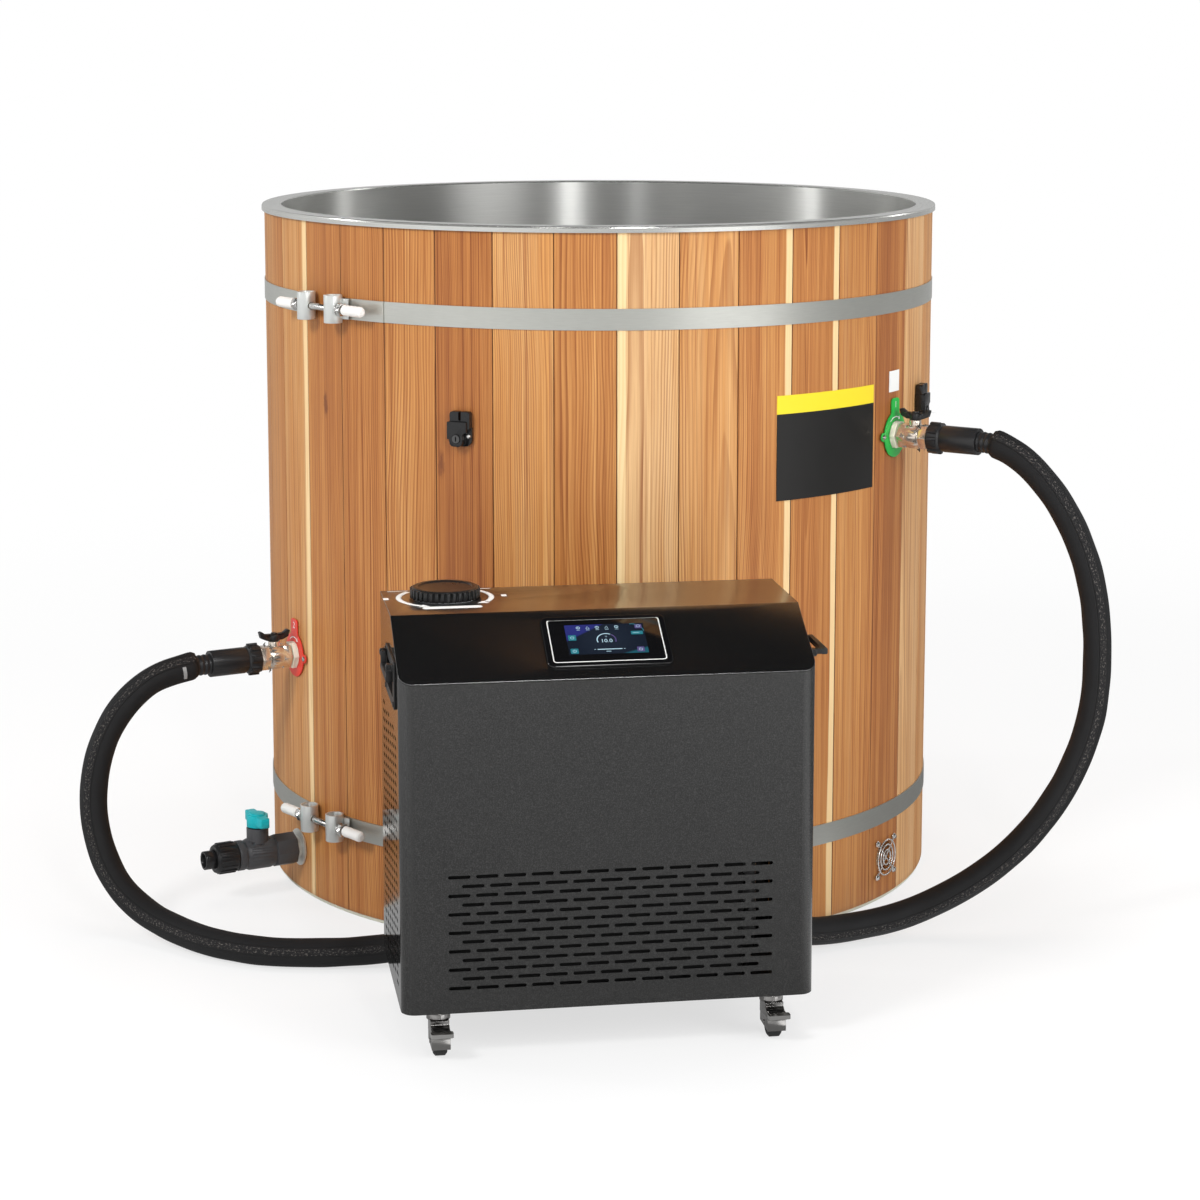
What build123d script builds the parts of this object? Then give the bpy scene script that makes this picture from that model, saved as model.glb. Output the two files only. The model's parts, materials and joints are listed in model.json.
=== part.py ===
from build123d import *
import math
import os

# Barrel cold plunge tub with its water chiller, hoses and valves, in millimetres.
# The origin is on the floor at the tub's axis, +Z up, -Y towards the front.
# An angle round the tub is measured from the front, positive towards +X.

os.makedirs("parts", exist_ok=True)

# Tub
TUB_R = 500.0
TUB_TOP = 1000.0
STAVE_COUNT = 37
STAVE_THICK = 18.0
STAVE_GAP = 0.25
SEAM_GROOVE = 1.1
FIRST_SEAM = -65.3
BASE_R = 498.0
BASE_THICK = 6.0
LINER_R = 475.0
LINER_WALL = 1.5
LINER_FLOOR = 48.0
LINER_PLATE = 2.0
FOAM_GAP = 0.2
RIM_R = 504.0
RIM_THICK = 2.0
RIM_SKIRT = 8.5

# Hoops
HOOP_HEIGHTS = (875.0, 130.0)
LUG_ANGLES = (-49.1, -50.5)
HOOP_WIDE = 29.0
HOOP_THICK = 1.2
HOOP_GAP = 0.2
DOUBLER_END = -36.0
LUG_R = 13.0
LUG_WALL = 2.5
LUG_TALL = 39.0
LUG_OFFSET = 32.0
LUG_OUT = 15.0
BOLT_R = 5.0
BOLT_HALF = 72.0
NUT_ACROSS = 17.0
NUT_THICK = 8.0
CAP_R = 7.5
CAP_LONG = 40.0
CAP_START = 60.0

# Water fittings
INLET_ANGLE = 57.5
INLET_Z = 685.0
OUTLET_ANGLE = -61.8
OUTLET_Z = 356.0
TAG_R = 32.5
TAG_THICK = 2.0
TAG_EAR = 36.0
PORT_PIPE_R = 12.0
PORT_BORE_R = 8.0
VALVE_START = 12.0
VALVE_END = 58.0
VALVE_MID = 34.0
VALVE_BALL_R = 11.0
BALL_CLEAR = 0.3
STEM_R = 4.0
STEM_CLEAR = 0.05
UNION_END = 134.0
UNION_SLEEVE_R = 19.0

# Drain
DRAIN_ANGLE = -61.5
DRAIN_Z = 67.0
DRAIN_BORE_R = 11.0
DRAIN_PIPE_R = 16.0
DRAIN_PLATE_R = 27.0
DRAIN_VALVE_END = 100.0
DRAIN_VALVE_MID = 66.0
DRAIN_BALL_R = 15.0
DRAIN_TAIL_R = 13.5
DRAIN_TAIL_END = 150.0

# Wall fittings
VENT_ANGLE = 56.5
VENT_Z = 63.0
VENT_HOLE_R = 23.0
GUARD_WIRE_R = 1.1
GUARD_RINGS = (26.0, 18.5, 11.0)
GUARD_LOOP = 25.0
CLIP_ANGLES = (-21.7, 68.3, 158.3, -111.7)
CLIP_Z = 723.0
CLIP_TALL = 48.0
CLIP_LOCK_X = -2.7
CLIP_LOCK_Y = -13.0
CLIP_LOCK_R = 5.5
CLIP_SCREW_X = 11.5
CLIP_SCREW_Y = -10.0
NOTICE_FROM = 29.2
NOTICE_TO = 50.7
NOTICE_LOW = 617.0
NOTICE_HIGH = 763.0
LABEL_ANGLE = 57.3
LABEL_Z = 762.0
LABEL_SIDE = 30.0
PLATE_THICK = 0.8

# Chiller body
CHILLER_X = -6.0
CHILLER_Y = -760.0
CHILLER_TURN = 9.0
BODY_WIDE = 520.0
BODY_DEEP = 265.0
BODY_LOW = 60.0
FRONT_TOP = 478.0
BODY_TOP = 540.0
SLOPE_RUN = 112.0
CORNER_R = 18.0
SHEET = 1.2
COVER_SHEET = 1.6
SLOT_LONG = 27.8
SLOT_TALL = 4.4
FRONT_SLOT_FROM = 58.0
FRONT_SLOT_PITCH = 34.5
FRONT_SLOT_ROW = 11.8
FRONT_SLOT_LOW = 92.0
FRONT_SLOT_ROWS = 13
FRONT_SLOT_COUNT = 12
SIDE_SLOT_LONG = 21.0
SIDE_SLOT_TALL = 4.2
SIDE_SLOT_PITCH = 33.0
SIDE_SLOT_ROW = 11.6
SIDE_SLOT_LOW = 84.0
SIDE_SLOT_ROWS = 28
SIDE_SLOT_COLUMNS = 6
DISPLAY_X = 4.0
DISPLAY_UP = 66.0
DISPLAY_WIDE = 157.0
DISPLAY_TALL = 93.0
DISPLAY_THICK = 3.0
GLASS_WIDE = 147.0
GLASS_TALL = 83.0
FILTER_X = -181.0
FILTER_Y = 80.0
FILTER_CAP_R = 45.0
FILTER_CAP_TALL = 15.0
FILTER_NECK_R = 36.0
FILTER_RIBS = 36
HANDLE_Y = -32.0
HANDLE_Z = 466.0
HANDLE_LONG = 116.0
HANDLE_TALL = 60.0
GRIP_LONG = 80.0
GRIP_REACH = 27.0
GRIP_BAR = 8.0
GRIP_Z = 487.0
GRIP_PIVOT = 7.0
PIN_R = 2.0
PORT_LEFT_X = -60.0
PORT_RIGHT_X = 150.0
PORT_Z = 85.0
PORT_STAND = 34.5
ELBOW_ARM = 45.0
ELBOW_OUT = 15.0
ELBOW_DOWN = 20.0
ELBOW_R = 17.0

# Chiller insides
FAN_X = -20.0
FAN_Z = 165.0
FAN_R = 82.0
FAN_BLADES = 7
COIL_Y = -102.0
COIL_DEEP = 34.0
COIL_WIDE = 380.0
COIL_TALL = 190.0

# Casters
CASTER_X = 212.0
CASTER_FRONT_Y = -98.5
CASTER_REAR_Y = 102.5
CASTER_TRAIL = 12.0
WHEEL_R = 19.0
WHEEL_WIDE = 17.0
AXLE_R = 3.0
SWIVEL_R = 5.0
FORK_WALL = 2.0
CASTER_TOP = 60.0
PLATE_SIDE = 44.0
PEDAL_Y = -36.0
PEDAL_Z = 34.0
PEDAL_PIN_R = 1.6

# Hoses: routes chosen by hand from the mouth of each fitting to its elbow.
HOSE_R = 20.0
INLET_ROUTE = [
    (534.79, -340.70, 685.0),
    (569.29, -362.68, 685.0),
    (622.4, -396.5, 637.0),
    (662.1, -421.7, 569.0),
    (684.9, -436.2, 491.0),
    (691.6, -440.5, 406.0),
    (687.0, -445.0, 322.0),
    (661.0, -451.0, 243.0),
    (619.0, -455.0, 172.0),
    (563.0, -455.0, 111.0),
    (498.0, -455.0, 66.0),
    (426.0, -450.0, 30.0),
    (351.0, -470.0, 20.0),
    (281.0, -508.0, 25.0),
    (206.2, -531.4, 49.1),
    (154.7, -554.3, 69.6),
]
OUTLET_ROUTE = [
    (-558.83, -299.64, 356.0),
    (-615.15, -329.84, 356.0),
    (-671.6, -360.1, 317.0),
    (-705.1, -378.1, 255.0),
    (-717.0, -386.0, 182.0),
    (-706.0, -400.0, 116.0),
    (-677.0, -424.0, 66.0),
    (-636.0, -450.0, 36.0),
    (-585.0, -490.0, 23.0),
    (-527.0, -538.0, 20.0),
    (-455.0, -573.0, 20.0),
    (-375.0, -578.0, 20.0),
    (-302.0, -571.0, 22.0),
    (-243.0, -580.0, 34.0),
    (-189.6, -594.1, 49.1),
    (-133.5, -600.0, 69.6),
]


def save(name, *shapes):
    solids = []
    for shape in shapes:
        solids += shape.solids()
    body = solids[0] if len(solids) == 1 else Compound(solids)
    export_step(body, f"parts/{name}.step")


def on_ring(radius, angle):
    turn = math.radians(angle)
    return (radius * math.sin(turn), -radius * math.cos(turn))


def wall_place(angle, height):
    """Local axes on the tub's wall: X to the right, Y up, Z outwards."""
    x, y = on_ring(1.0, angle)
    plane = Plane(origin=(TUB_R * x, TUB_R * y, height), x_dir=(-y, x, 0), z_dir=(x, y, 0))
    return plane.location


def chiller_place():
    return Location((CHILLER_X, CHILLER_Y, 0), (0, 0, CHILLER_TURN))


def turned(points):
    """A solid of revolution about Z from (radius, height) points."""
    outline = Polyline([(radius, 0, height) for radius, height in points], close=True)
    return revolve(make_face(outline), Axis.Z)


def rod(radius, low, high):
    return Pos(0, 0, (low + high) / 2) * Cylinder(radius, high - low)


def pipe(outer, inner, low, high):
    return rod(outer, low, high) - rod(inner, low - 1, high + 1)


def block(x0, x1, y0, y1, z0, z1):
    centre = Pos((x0 + x1) / 2, (y0 + y1) / 2, (z0 + z1) / 2)
    return centre * Box(x1 - x0, y1 - y0, z1 - z0)


def hexagon(across, low, high):
    return Pos(0, 0, low) * extrude(RegularPolygon(across / 2, 6, major_radius=False), high - low)


def upright(shape, x=0.0, z=0.0):
    """Turns a shape made about Z to stand along local Y."""
    return Pos(x, 0, z) * Rot(-90, 0, 0) * shape


def ring_part(r_in, r_out, z_low, z_high, angle_from, angle_to):
    """A wall of the tub between two angles."""
    middle = (angle_from + angle_to) / 2
    outer = ThreePointArc(
        on_ring(r_out, angle_from), on_ring(r_out, middle), on_ring(r_out, angle_to)
    )
    inner = ThreePointArc(
        on_ring(r_in, angle_to), on_ring(r_in, middle), on_ring(r_in, angle_from)
    )
    side_a = Line(on_ring(r_out, angle_to), on_ring(r_in, angle_to))
    side_b = Line(on_ring(r_in, angle_from), on_ring(r_out, angle_from))
    face = make_face([outer, side_a, inner, side_b])
    return Pos(0, 0, z_low) * extrude(face, z_high - z_low, dir=(0, 0, 1))


# Holes through the tub's wall, as (angle, height, radius)
WALL_HOLES = [
    (INLET_ANGLE, INLET_Z, PORT_PIPE_R + 0.5),
    (OUTLET_ANGLE, OUTLET_Z, PORT_PIPE_R + 0.5),
    (DRAIN_ANGLE, DRAIN_Z, DRAIN_PIPE_R + 0.5),
]
SCREW_R = 1.6
SCREW_HEAD_R = 3.6
SCREW_HEAD = 2.2
SCREW_DEEP = 14.0


def screw_spots():
    """Every wood screw as (angle, height, sideways, upwards, distance of its head from the wall)."""
    spots = []
    for angle, height in ((INLET_ANGLE, INLET_Z), (OUTLET_ANGLE, OUTLET_Z)):
        for side in (-TAG_EAR, TAG_EAR):
            spots.append((angle, height, side, 0.0, TAG_THICK + 1.3))
    for side in (-GUARD_LOOP, GUARD_LOOP):
        for up in (-GUARD_LOOP, GUARD_LOOP):
            spots.append((VENT_ANGLE, VENT_Z, side, up, 2 * GUARD_WIRE_R + 1.4))
    for angle in CLIP_ANGLES:
        spots.append((angle, CLIP_Z, CLIP_SCREW_X, CLIP_SCREW_Y, 6.0))
    return spots


def screw_holes():
    for angle, height, side, up, head in screw_spots():
        hole = Pos(side, up, 0) * rod(SCREW_R, -SCREW_DEEP, head)
        yield angle, wall_place(angle, height) * hole


# Tub body


def stave(pitch):
    half = pitch / 2 - math.degrees(STAVE_GAP / 2 / TUB_R)
    groove = half - math.degrees(SEAM_GROOVE / TUB_R)
    inner_r = TUB_R - STAVE_THICK
    edges = [
        ThreePointArc(on_ring(TUB_R, -groove), on_ring(TUB_R, 0), on_ring(TUB_R, groove)),
        Line(on_ring(TUB_R, groove), on_ring(TUB_R - SEAM_GROOVE, half)),
        Line(on_ring(TUB_R - SEAM_GROOVE, half), on_ring(inner_r, half)),
        ThreePointArc(on_ring(inner_r, half), on_ring(inner_r, 0), on_ring(inner_r, -half)),
        Line(on_ring(inner_r, -half), on_ring(TUB_R - SEAM_GROOVE, -half)),
        Line(on_ring(TUB_R - SEAM_GROOVE, -half), on_ring(TUB_R, -groove)),
    ]
    tall = TUB_TOP - RIM_THICK - 0.5 - BASE_THICK
    return Pos(0, 0, BASE_THICK) * extrude(make_face(edges), tall, dir=(0, 0, 1))


def staves():
    pitch = 360.0 / STAVE_COUNT
    tools = []
    for angle, height, radius in WALL_HOLES + [(VENT_ANGLE, VENT_Z, VENT_HOLE_R)]:
        tools.append((angle, wall_place(angle, height) * rod(radius, -40, 10)))
    tools += list(screw_holes())
    plain = stave(pitch)
    made = []
    for number in range(STAVE_COUNT):
        middle = FIRST_SEAM + pitch * (number + 0.5)
        one = Rot(0, 0, middle) * plain
        for angle, tool in tools:
            away = (angle - middle + 180.0) % 360.0 - 180.0
            if abs(away) < 1.6 * pitch:
                one = one - tool
        made.append(one)
    return made


def base_plate():
    plate = rod(BASE_R, 0, BASE_THICK)
    return chamfer(plate.edges().group_by(Axis.Z)[0], 1.5)


def foam_insulation():
    floor_disc = rod(LINER_R, BASE_THICK, LINER_FLOOR - LINER_PLATE)
    inner = LINER_R + LINER_WALL + FOAM_GAP
    outer = TUB_R - STAVE_THICK - FOAM_GAP
    jacket = pipe(outer, inner, BASE_THICK, TUB_TOP - RIM_THICK - 6)
    for angle, height, radius in WALL_HOLES + [(VENT_ANGLE, VENT_Z, VENT_HOLE_R)]:
        jacket = jacket - wall_place(angle, height) * rod(radius, -40, 10)
    return floor_disc, jacket


def liner_wall():
    wall = pipe(LINER_R + LINER_WALL, LINER_R, BASE_THICK, TUB_TOP - RIM_THICK)
    for angle, height, radius in WALL_HOLES:
        wall = wall - wall_place(angle, height) * rod(radius, -60, 10)
    return wall


def liner_floor():
    return rod(LINER_R - 0.1, LINER_FLOOR - LINER_PLATE, LINER_FLOOR)


def rim_ring():
    under = TUB_TOP - RIM_THICK
    skirt_in = RIM_R - 1.6
    outline = [
        (LINER_R, under),
        (LINER_R + 0.8, TUB_TOP - 0.4),
        (LINER_R + 2.0, TUB_TOP),
        (RIM_R - 2.5, TUB_TOP),
        (RIM_R - 0.7, TUB_TOP - 0.8),
        (RIM_R, TUB_TOP - 2.6),
        (RIM_R, TUB_TOP - RIM_SKIRT),
        (skirt_in, TUB_TOP - RIM_SKIRT),
        (skirt_in, under),
    ]
    return turned(outline)


# Hoops and their tension bolts


def hoop_bands():
    made = []
    inner = TUB_R + HOOP_GAP
    outer = inner + HOOP_THICK
    reach = math.degrees(LUG_OFFSET / TUB_R)
    for height, lug_angle in zip(HOOP_HEIGHTS, LUG_ANGLES):
        low = height - HOOP_WIDE / 2
        high = height + HOOP_WIDE / 2
        start = lug_angle + reach
        band = ring_part(inner, outer, low, high, start, start + 360 - 2 * reach)
        doubler = ring_part(outer, outer + HOOP_THICK, low, high, start, DOUBLER_END)
        made += [band, doubler]
    return made


def lug(side):
    """One upright lug tube with its foot along the band and its bolt hole."""
    low = -LUG_TALL / 2
    high = LUG_TALL / 2
    tube = upright(rod(LUG_R, low, high), 0, LUG_OUT)
    rise = HOOP_WIDE / 2
    foot = HOOP_GAP + 2 * HOOP_THICK + 0.2
    gusset_points = [(0, foot), (side * 20, foot), (side * 9, 6.5), (0, 6.5)]
    outline = Polyline([(x, -rise, z) for x, z in gusset_points], close=True)
    gusset = extrude(make_face(outline), HOOP_WIDE, dir=(0, 1, 0))
    bore = upright(rod(LUG_R - LUG_WALL, low - 1, high + 1), 0, LUG_OUT)
    bolt_hole = Pos(0, 0, LUG_OUT) * Rot(0, 90, 0) * Cylinder(BOLT_R + 0.6, 80)
    return tube + gusset - bore - bolt_hole


def hoop_lugs():
    made = []
    for height, angle in zip(HOOP_HEIGHTS, LUG_ANGLES):
        for side in (-1, 1):
            made.append(wall_place(angle, height) * Pos(side * LUG_OFFSET, 0, 0) * lug(side))
    return made


def tension_bolts():
    made = []
    nut = hexagon(NUT_ACROSS, 0, NUT_THICK) - rod(BOLT_R, -1, NUT_THICK + 1)
    washer = pipe(9.0, BOLT_R, 0, 3.0)
    bolt = rod(BOLT_R, -BOLT_HALF, BOLT_HALF)
    along = Pos(0, 0, LUG_OUT) * Rot(0, 90, 0)
    seat = LUG_OFFSET + LUG_R + 0.2
    for height, angle in zip(HOOP_HEIGHTS, LUG_ANGLES):
        place = wall_place(angle, height) * along
        made.append(place * bolt)
        made.append(place * Pos(0, 0, seat + 3.0) * nut)
        made.append(place * Pos(0, 0, seat) * washer)
        made.append(place * Rot(180, 0, 0) * Pos(0, 0, seat + 3.0) * nut)
        made.append(place * Rot(180, 0, 0) * Pos(0, 0, seat) * washer)
    return made


def bolt_end_caps():
    cap = turned(
        [
            (BOLT_R, 0),
            (CAP_R, 0),
            (CAP_R, CAP_LONG - 5),
            (CAP_R - 1.2, CAP_LONG - 1.8),
            (CAP_R - 4, CAP_LONG),
            (0, CAP_LONG),
            (0, BOLT_HALF - CAP_START),
            (BOLT_R, BOLT_HALF - CAP_START),
        ]
    )
    along = Pos(0, 0, LUG_OUT) * Rot(0, 90, 0)
    made = []
    for height, angle in zip(HOOP_HEIGHTS, LUG_ANGLES):
        place = wall_place(angle, height) * along
        made.append(place * Pos(0, 0, CAP_START) * cap)
        made.append(place * Rot(180, 0, 0) * Pos(0, 0, CAP_START) * cap)
    return made


# Inlet and outlet fittings


def port_tag():
    """A round tag with a tongue above it and a screw ear on each side."""
    disc = rod(TAG_R, 0.8, 0.8 + TAG_THICK)
    tongue = block(-12, 12, 0, TAG_R + 20, 0.8, 0.8 + TAG_THICK)
    tongue = fillet(tongue.edges().filter_by(Axis.Z).group_by(Axis.Y)[-1], 6)
    tag = disc + tongue
    for side in (-TAG_EAR, TAG_EAR):
        tag = tag + Pos(side, 0, 0) * rod(6.5, 0.8, 0.8 + TAG_THICK)
        tag = tag - Pos(side, 0, 0) * rod(SCREW_R, -1, 10)
    return tag - rod(PORT_PIPE_R + 0.2, -1, 10)


def port_bulkhead():
    """The threaded port tube through the wall, with its flange inside the liner."""
    flange = -(TUB_R - LINER_R) - 0.6
    tube = turned(
        [
            (PORT_BORE_R, flange - 6),
            (21, flange - 6),
            (22, flange - 5),
            (22, flange - 1),
            (PORT_PIPE_R, flange - 1),
            (PORT_PIPE_R, VALVE_START + 9),
            (PORT_BORE_R, VALVE_START + 9),
        ]
    )
    for number in range(3):
        tube = tube - Rot(0, 0, 60 * number) * block(-18, 18, -1.2, 1.2, flange - 7, flange - 4)
    return tube


def port_locknut():
    nut = hexagon(36, TAG_THICK + 1.0, VALVE_START - 1.5)
    collar = rod(19.5, TAG_THICK + 1.0, TAG_THICK + 3.4)
    return nut + collar - rod(PORT_PIPE_R, -1, 20)


def valve_body():
    """A two-piece ball valve: hexagon ends, a round middle and a stem gland on top."""
    ends = hexagon(33, VALVE_START, VALVE_START + 12) + hexagon(33, VALVE_END - 13, VALVE_END)
    middle = turned(
        [
            (0, VALVE_START + 8),
            (15.5, VALVE_START + 8),
            (18.0, VALVE_MID - 6),
            (18.0, VALVE_MID + 5),
            (15.5, VALVE_END - 9),
            (0, VALVE_END - 9),
        ]
    )
    gland = upright(rod(8.5, 0, 23.5), 0, VALVE_MID)
    body = ends + middle + gland
    body = body - rod(PORT_PIPE_R, VALVE_START - 1, VALVE_START + 9.5)
    body = body - rod(PORT_BORE_R, VALVE_START, VALVE_END + 1)
    body = body - Pos(0, 0, VALVE_MID) * Sphere(VALVE_BALL_R + BALL_CLEAR)
    return body - upright(rod(STEM_R + STEM_CLEAR, 0, 30), 0, VALVE_MID)


def valve_ball():
    ball = Sphere(VALVE_BALL_R) - rod(PORT_BORE_R - 0.5, -20, 20)
    stem = upright(rod(STEM_R, VALVE_BALL_R - 1.5, 31))
    return Pos(0, 0, VALVE_MID) * (ball + stem)


def butterfly_handle():
    """Two upswept wings along the pipe, with a hub on the stem."""
    hub = upright(rod(8.0, 24.0, 33.0))
    wings = hub
    for side in (-1, 1):
        outline = Polyline(
            [
                (0, 25.0, 0),
                (0, 25.0, side * 12),
                (0, 29.0, side * 21),
                (0, 38.0, side * 23.5),
                (0, 39.0, side * 20),
                (0, 34.0, side * 13),
                (0, 33.0, 0),
            ],
            close=True,
        )
        wings = wings + Pos(-4.5, 0, 0) * extrude(make_face(outline), 9, dir=(1, 0, 0))
    screw = upright(rod(4.5, 33.0, 35.5))
    handle = wings + screw - upright(rod(STEM_R, 0, 31))
    return Pos(0, 0, VALVE_MID) * handle


def union_nut():
    """A lugged nut and the smooth sleeve that the hose is pushed into."""
    bore = PORT_BORE_R + 1
    body = turned(
        [
            (bore, VALVE_END + 0.3),
            (19.5, VALVE_END + 0.3),
            (20.5, VALVE_END + 2),
            (20.5, VALVE_END + 18),
            (UNION_SLEEVE_R - 1.5, VALVE_END + 20),
            (UNION_SLEEVE_R, VALVE_END + 24),
            (UNION_SLEEVE_R, UNION_END),
            (bore, UNION_END),
        ]
    )
    for number in range(8):
        lug_bar = block(18.5, 23.0, -3.2, 3.2, VALVE_END + 2, VALVE_END + 17)
        body = body + Rot(0, 0, 45 * number + 10) * lug_bar
    return body


def hose_tail():
    """The barbed tail that the union nut holds against the valve."""
    return pipe(PORT_BORE_R + 0.9, PORT_BORE_R - 1.5, VALVE_END + 0.3, UNION_END - 1)


# Drain


def drain_fitting():
    """The wall plate and the welded nipple that carries the drain valve."""
    plate = pipe(DRAIN_PLATE_R, DRAIN_PIPE_R + 0.1, 0.8, 2.6)
    flange = -(TUB_R - LINER_R) - 0.8
    nipple = turned(
        [
            (DRAIN_BORE_R, flange - 2),
            (19, flange - 2),
            (19, flange - 0.4),
            (DRAIN_PIPE_R, flange - 0.4),
            (DRAIN_PIPE_R, 22),
            (DRAIN_BORE_R, 22),
        ]
    )
    return plate, nipple


def drain_valve_body():
    socket = Pos(0, 0, 10) * extrude(RegularPolygon(22.5, 8, major_radius=False), 32)
    middle = turned(
        [
            (0, 40),
            (20, 40),
            (23, 50),
            (23, 82),
            (20.5, 88),
            (22, 90),
            (22, DRAIN_VALVE_END),
            (0, DRAIN_VALVE_END),
        ]
    )
    tower = upright(rod(16, 0, 39), 0, DRAIN_VALVE_MID)
    body = socket + middle + tower
    body = body - rod(DRAIN_PIPE_R, 9, 22.5)
    body = body - rod(DRAIN_BORE_R, 20, DRAIN_VALVE_END + 1)
    body = body - Pos(0, 0, DRAIN_VALVE_MID) * Sphere(DRAIN_BALL_R + BALL_CLEAR)
    return body - upright(rod(6.0 + STEM_CLEAR, 0, 45), 0, DRAIN_VALVE_MID)


def drain_handle():
    """The teal tee handle across the pipe, with the stem and ball that it turns."""
    hub = upright(rod(15.5, 40.5, 58))
    arms = hub
    for side in (-1, 1):
        low = block(0, 31, -7.5, 7.5, 44, 58)
        arm = Rot(0, 0, 0 if side > 0 else 180) * low
        arms = arms + upright(fillet(arm.edges().filter_by(Axis.Z), 3))
    crown = upright(rod(11.5, 58, 60.5))
    return Pos(0, 0, DRAIN_VALVE_MID) * (arms + crown - upright(rod(6.0, 38, 52)))


def drain_ball():
    ball = Sphere(DRAIN_BALL_R) - Rot(0, 90, 0) * Cylinder(DRAIN_BORE_R - 0.5, 60)
    stem = upright(rod(6.0, DRAIN_BALL_R - 2, 52))
    return Pos(0, 0, DRAIN_VALVE_MID) * (ball + stem)


def drain_coupling():
    """The ribbed union nut and the open tail pipe."""
    start = DRAIN_VALVE_END + 0.3
    nut = turned(
        [
            (DRAIN_TAIL_R + 0.1, start),
            (20.5, start),
            (21.5, start + 2),
            (21.5, start + 30),
            (19.5, start + 34),
            (DRAIN_TAIL_R + 0.1, start + 34),
        ]
    )
    for number in range(16):
        nut = nut + Rot(0, 0, 22.5 * number) * block(20.5, 23.0, -1.4, 1.4, start + 4, start + 29)
    tail = turned(
        [
            (DRAIN_BORE_R - 0.5, start),
            (DRAIN_TAIL_R - 0.4, start),
            (DRAIN_TAIL_R - 0.4, start + 35),
            (DRAIN_TAIL_R, start + 35),
            (DRAIN_TAIL_R, DRAIN_TAIL_END),
            (DRAIN_BORE_R - 0.5, DRAIN_TAIL_END),
        ]
    )
    return nut, tail


# Wall fittings


def vent_guard():
    """Wire rings on two crossed wires that end in four screw loops."""
    wire = GUARD_WIRE_R
    stand = 1.2 + wire
    guard = None
    for radius in GUARD_RINGS:
        ring = Pos(0, 0, stand + 1.5 * wire) * Torus(radius, wire)
        guard = ring if guard is None else guard + ring
    for turn in (45, 135):
        bar = Rot(0, 0, turn) * Rot(0, 90, 0) * Cylinder(wire, 2 * (GUARD_LOOP * math.sqrt(2) - 3))
        guard = guard + Pos(0, 0, stand) * bar
    for x in (-GUARD_LOOP, GUARD_LOOP):
        for y in (-GUARD_LOOP, GUARD_LOOP):
            guard = guard + Pos(x, y, stand) * Torus(3.4, wire)
    return guard


def cover_clip():
    """A lockable strap clip: base, housing, two lobes with a slot, and a lock bore."""
    tall = CLIP_TALL / 2
    base = block(-14.5, 16, -tall, 2, 1.0, 6.0)
    base = fillet(base.edges().filter_by(Axis.Z).group_by(Axis.Y)[0], 9)
    lobes = block(-14.5, 15, 0, tall, 1.0, 11.0)
    lobes = fillet(lobes.edges().filter_by(Axis.Z).group_by(Axis.Y)[-1], 4)
    lobes = lobes - block(-1.4, 2.0, tall - 12, tall + 1, 0, 20)
    housing = block(-16.5, 12, -14, 10.5, 1.0, 16.0)
    housing = fillet(housing.edges().filter_by(Axis.Z), 2)
    nose = block(-13, 6.5, -tall, 0, 1.0, 16.0)
    nose = fillet(nose.edges().filter_by(Axis.Z).group_by(Axis.Y)[0], 7)
    recess = Pos(CLIP_SCREW_X, CLIP_SCREW_Y, 0) * rod(5.2, 6.0, 30)
    clip = base + lobes + housing + nose - recess
    clip = clip - Pos(CLIP_SCREW_X, CLIP_SCREW_Y, 0) * rod(SCREW_R, 0, 30)
    return clip - Pos(CLIP_LOCK_X, CLIP_LOCK_Y, 0) * rod(CLIP_LOCK_R + STEM_CLEAR, 3.0, 30)


def lock_barrel():
    barrel = rod(CLIP_LOCK_R, 3.5, 17.2)
    keyway = block(-0.9, 0.9, -3.2, 3.2, 12, 30)
    return Pos(CLIP_LOCK_X, CLIP_LOCK_Y, 0) * (barrel - keyway)


def wall_screws():
    made = []
    for angle, height, side, up, head in screw_spots():
        place = wall_place(angle, height) * Pos(side, up, 0)
        shank = rod(SCREW_R - 0.05, -SCREW_DEEP + 1, head + 0.5)
        dome = turned(
            [
                (0, head),
                (SCREW_HEAD_R, head),
                (SCREW_HEAD_R - 0.5, head + 1.4),
                (1.8, head + SCREW_HEAD),
                (0, head + SCREW_HEAD),
            ]
        )
        made.append(place * (shank + dome))
    return made


def wall_plates():
    inner = TUB_R + 0.1
    outer = inner + PLATE_THICK
    notice = ring_part(inner, outer, NOTICE_LOW, NOTICE_HIGH, NOTICE_FROM, NOTICE_TO)
    half = math.degrees(LABEL_SIDE / 2 / TUB_R)
    low = LABEL_Z - LABEL_SIDE / 2
    high = LABEL_Z + LABEL_SIDE / 2
    label = ring_part(inner, outer, low, high, LABEL_ANGLE - half, LABEL_ANGLE + half)
    return notice, label


# Hoses


def corner_radii(route):
    """The largest even arc that each corner's two runs leave room for."""
    points = [Vector(*point) for point in route]
    radii = []
    for before, here, after in zip(points, points[1:], points[2:]):
        arriving = here - before
        leaving = after - here
        shorter = min(arriving.length, leaving.length)
        half_turn = math.radians(arriving.get_angle(leaving)) / 2
        radii.append(0.45 * shorter / math.tan(half_turn))
    return radii


def hose(name, route):
    radii = corner_radii(route)
    path = FilletPolyline(route, radius=radii)
    start = path @ 0
    section = Plane(origin=start, z_dir=path % 0) * Circle(HOSE_R)
    solid = sweep(section, path=path)
    expected = math.pi * HOSE_R**2 * path.length
    runs = [round((Vector(*b) - Vector(*a)).length) for a, b in zip(route, route[1:])]
    print(name, "length", round(path.length, 1), "radii", [round(r) for r in radii])
    print(name, "runs", runs, "volume share", round(solid.volume / expected, 5))
    return solid


# Chiller casing


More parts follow.
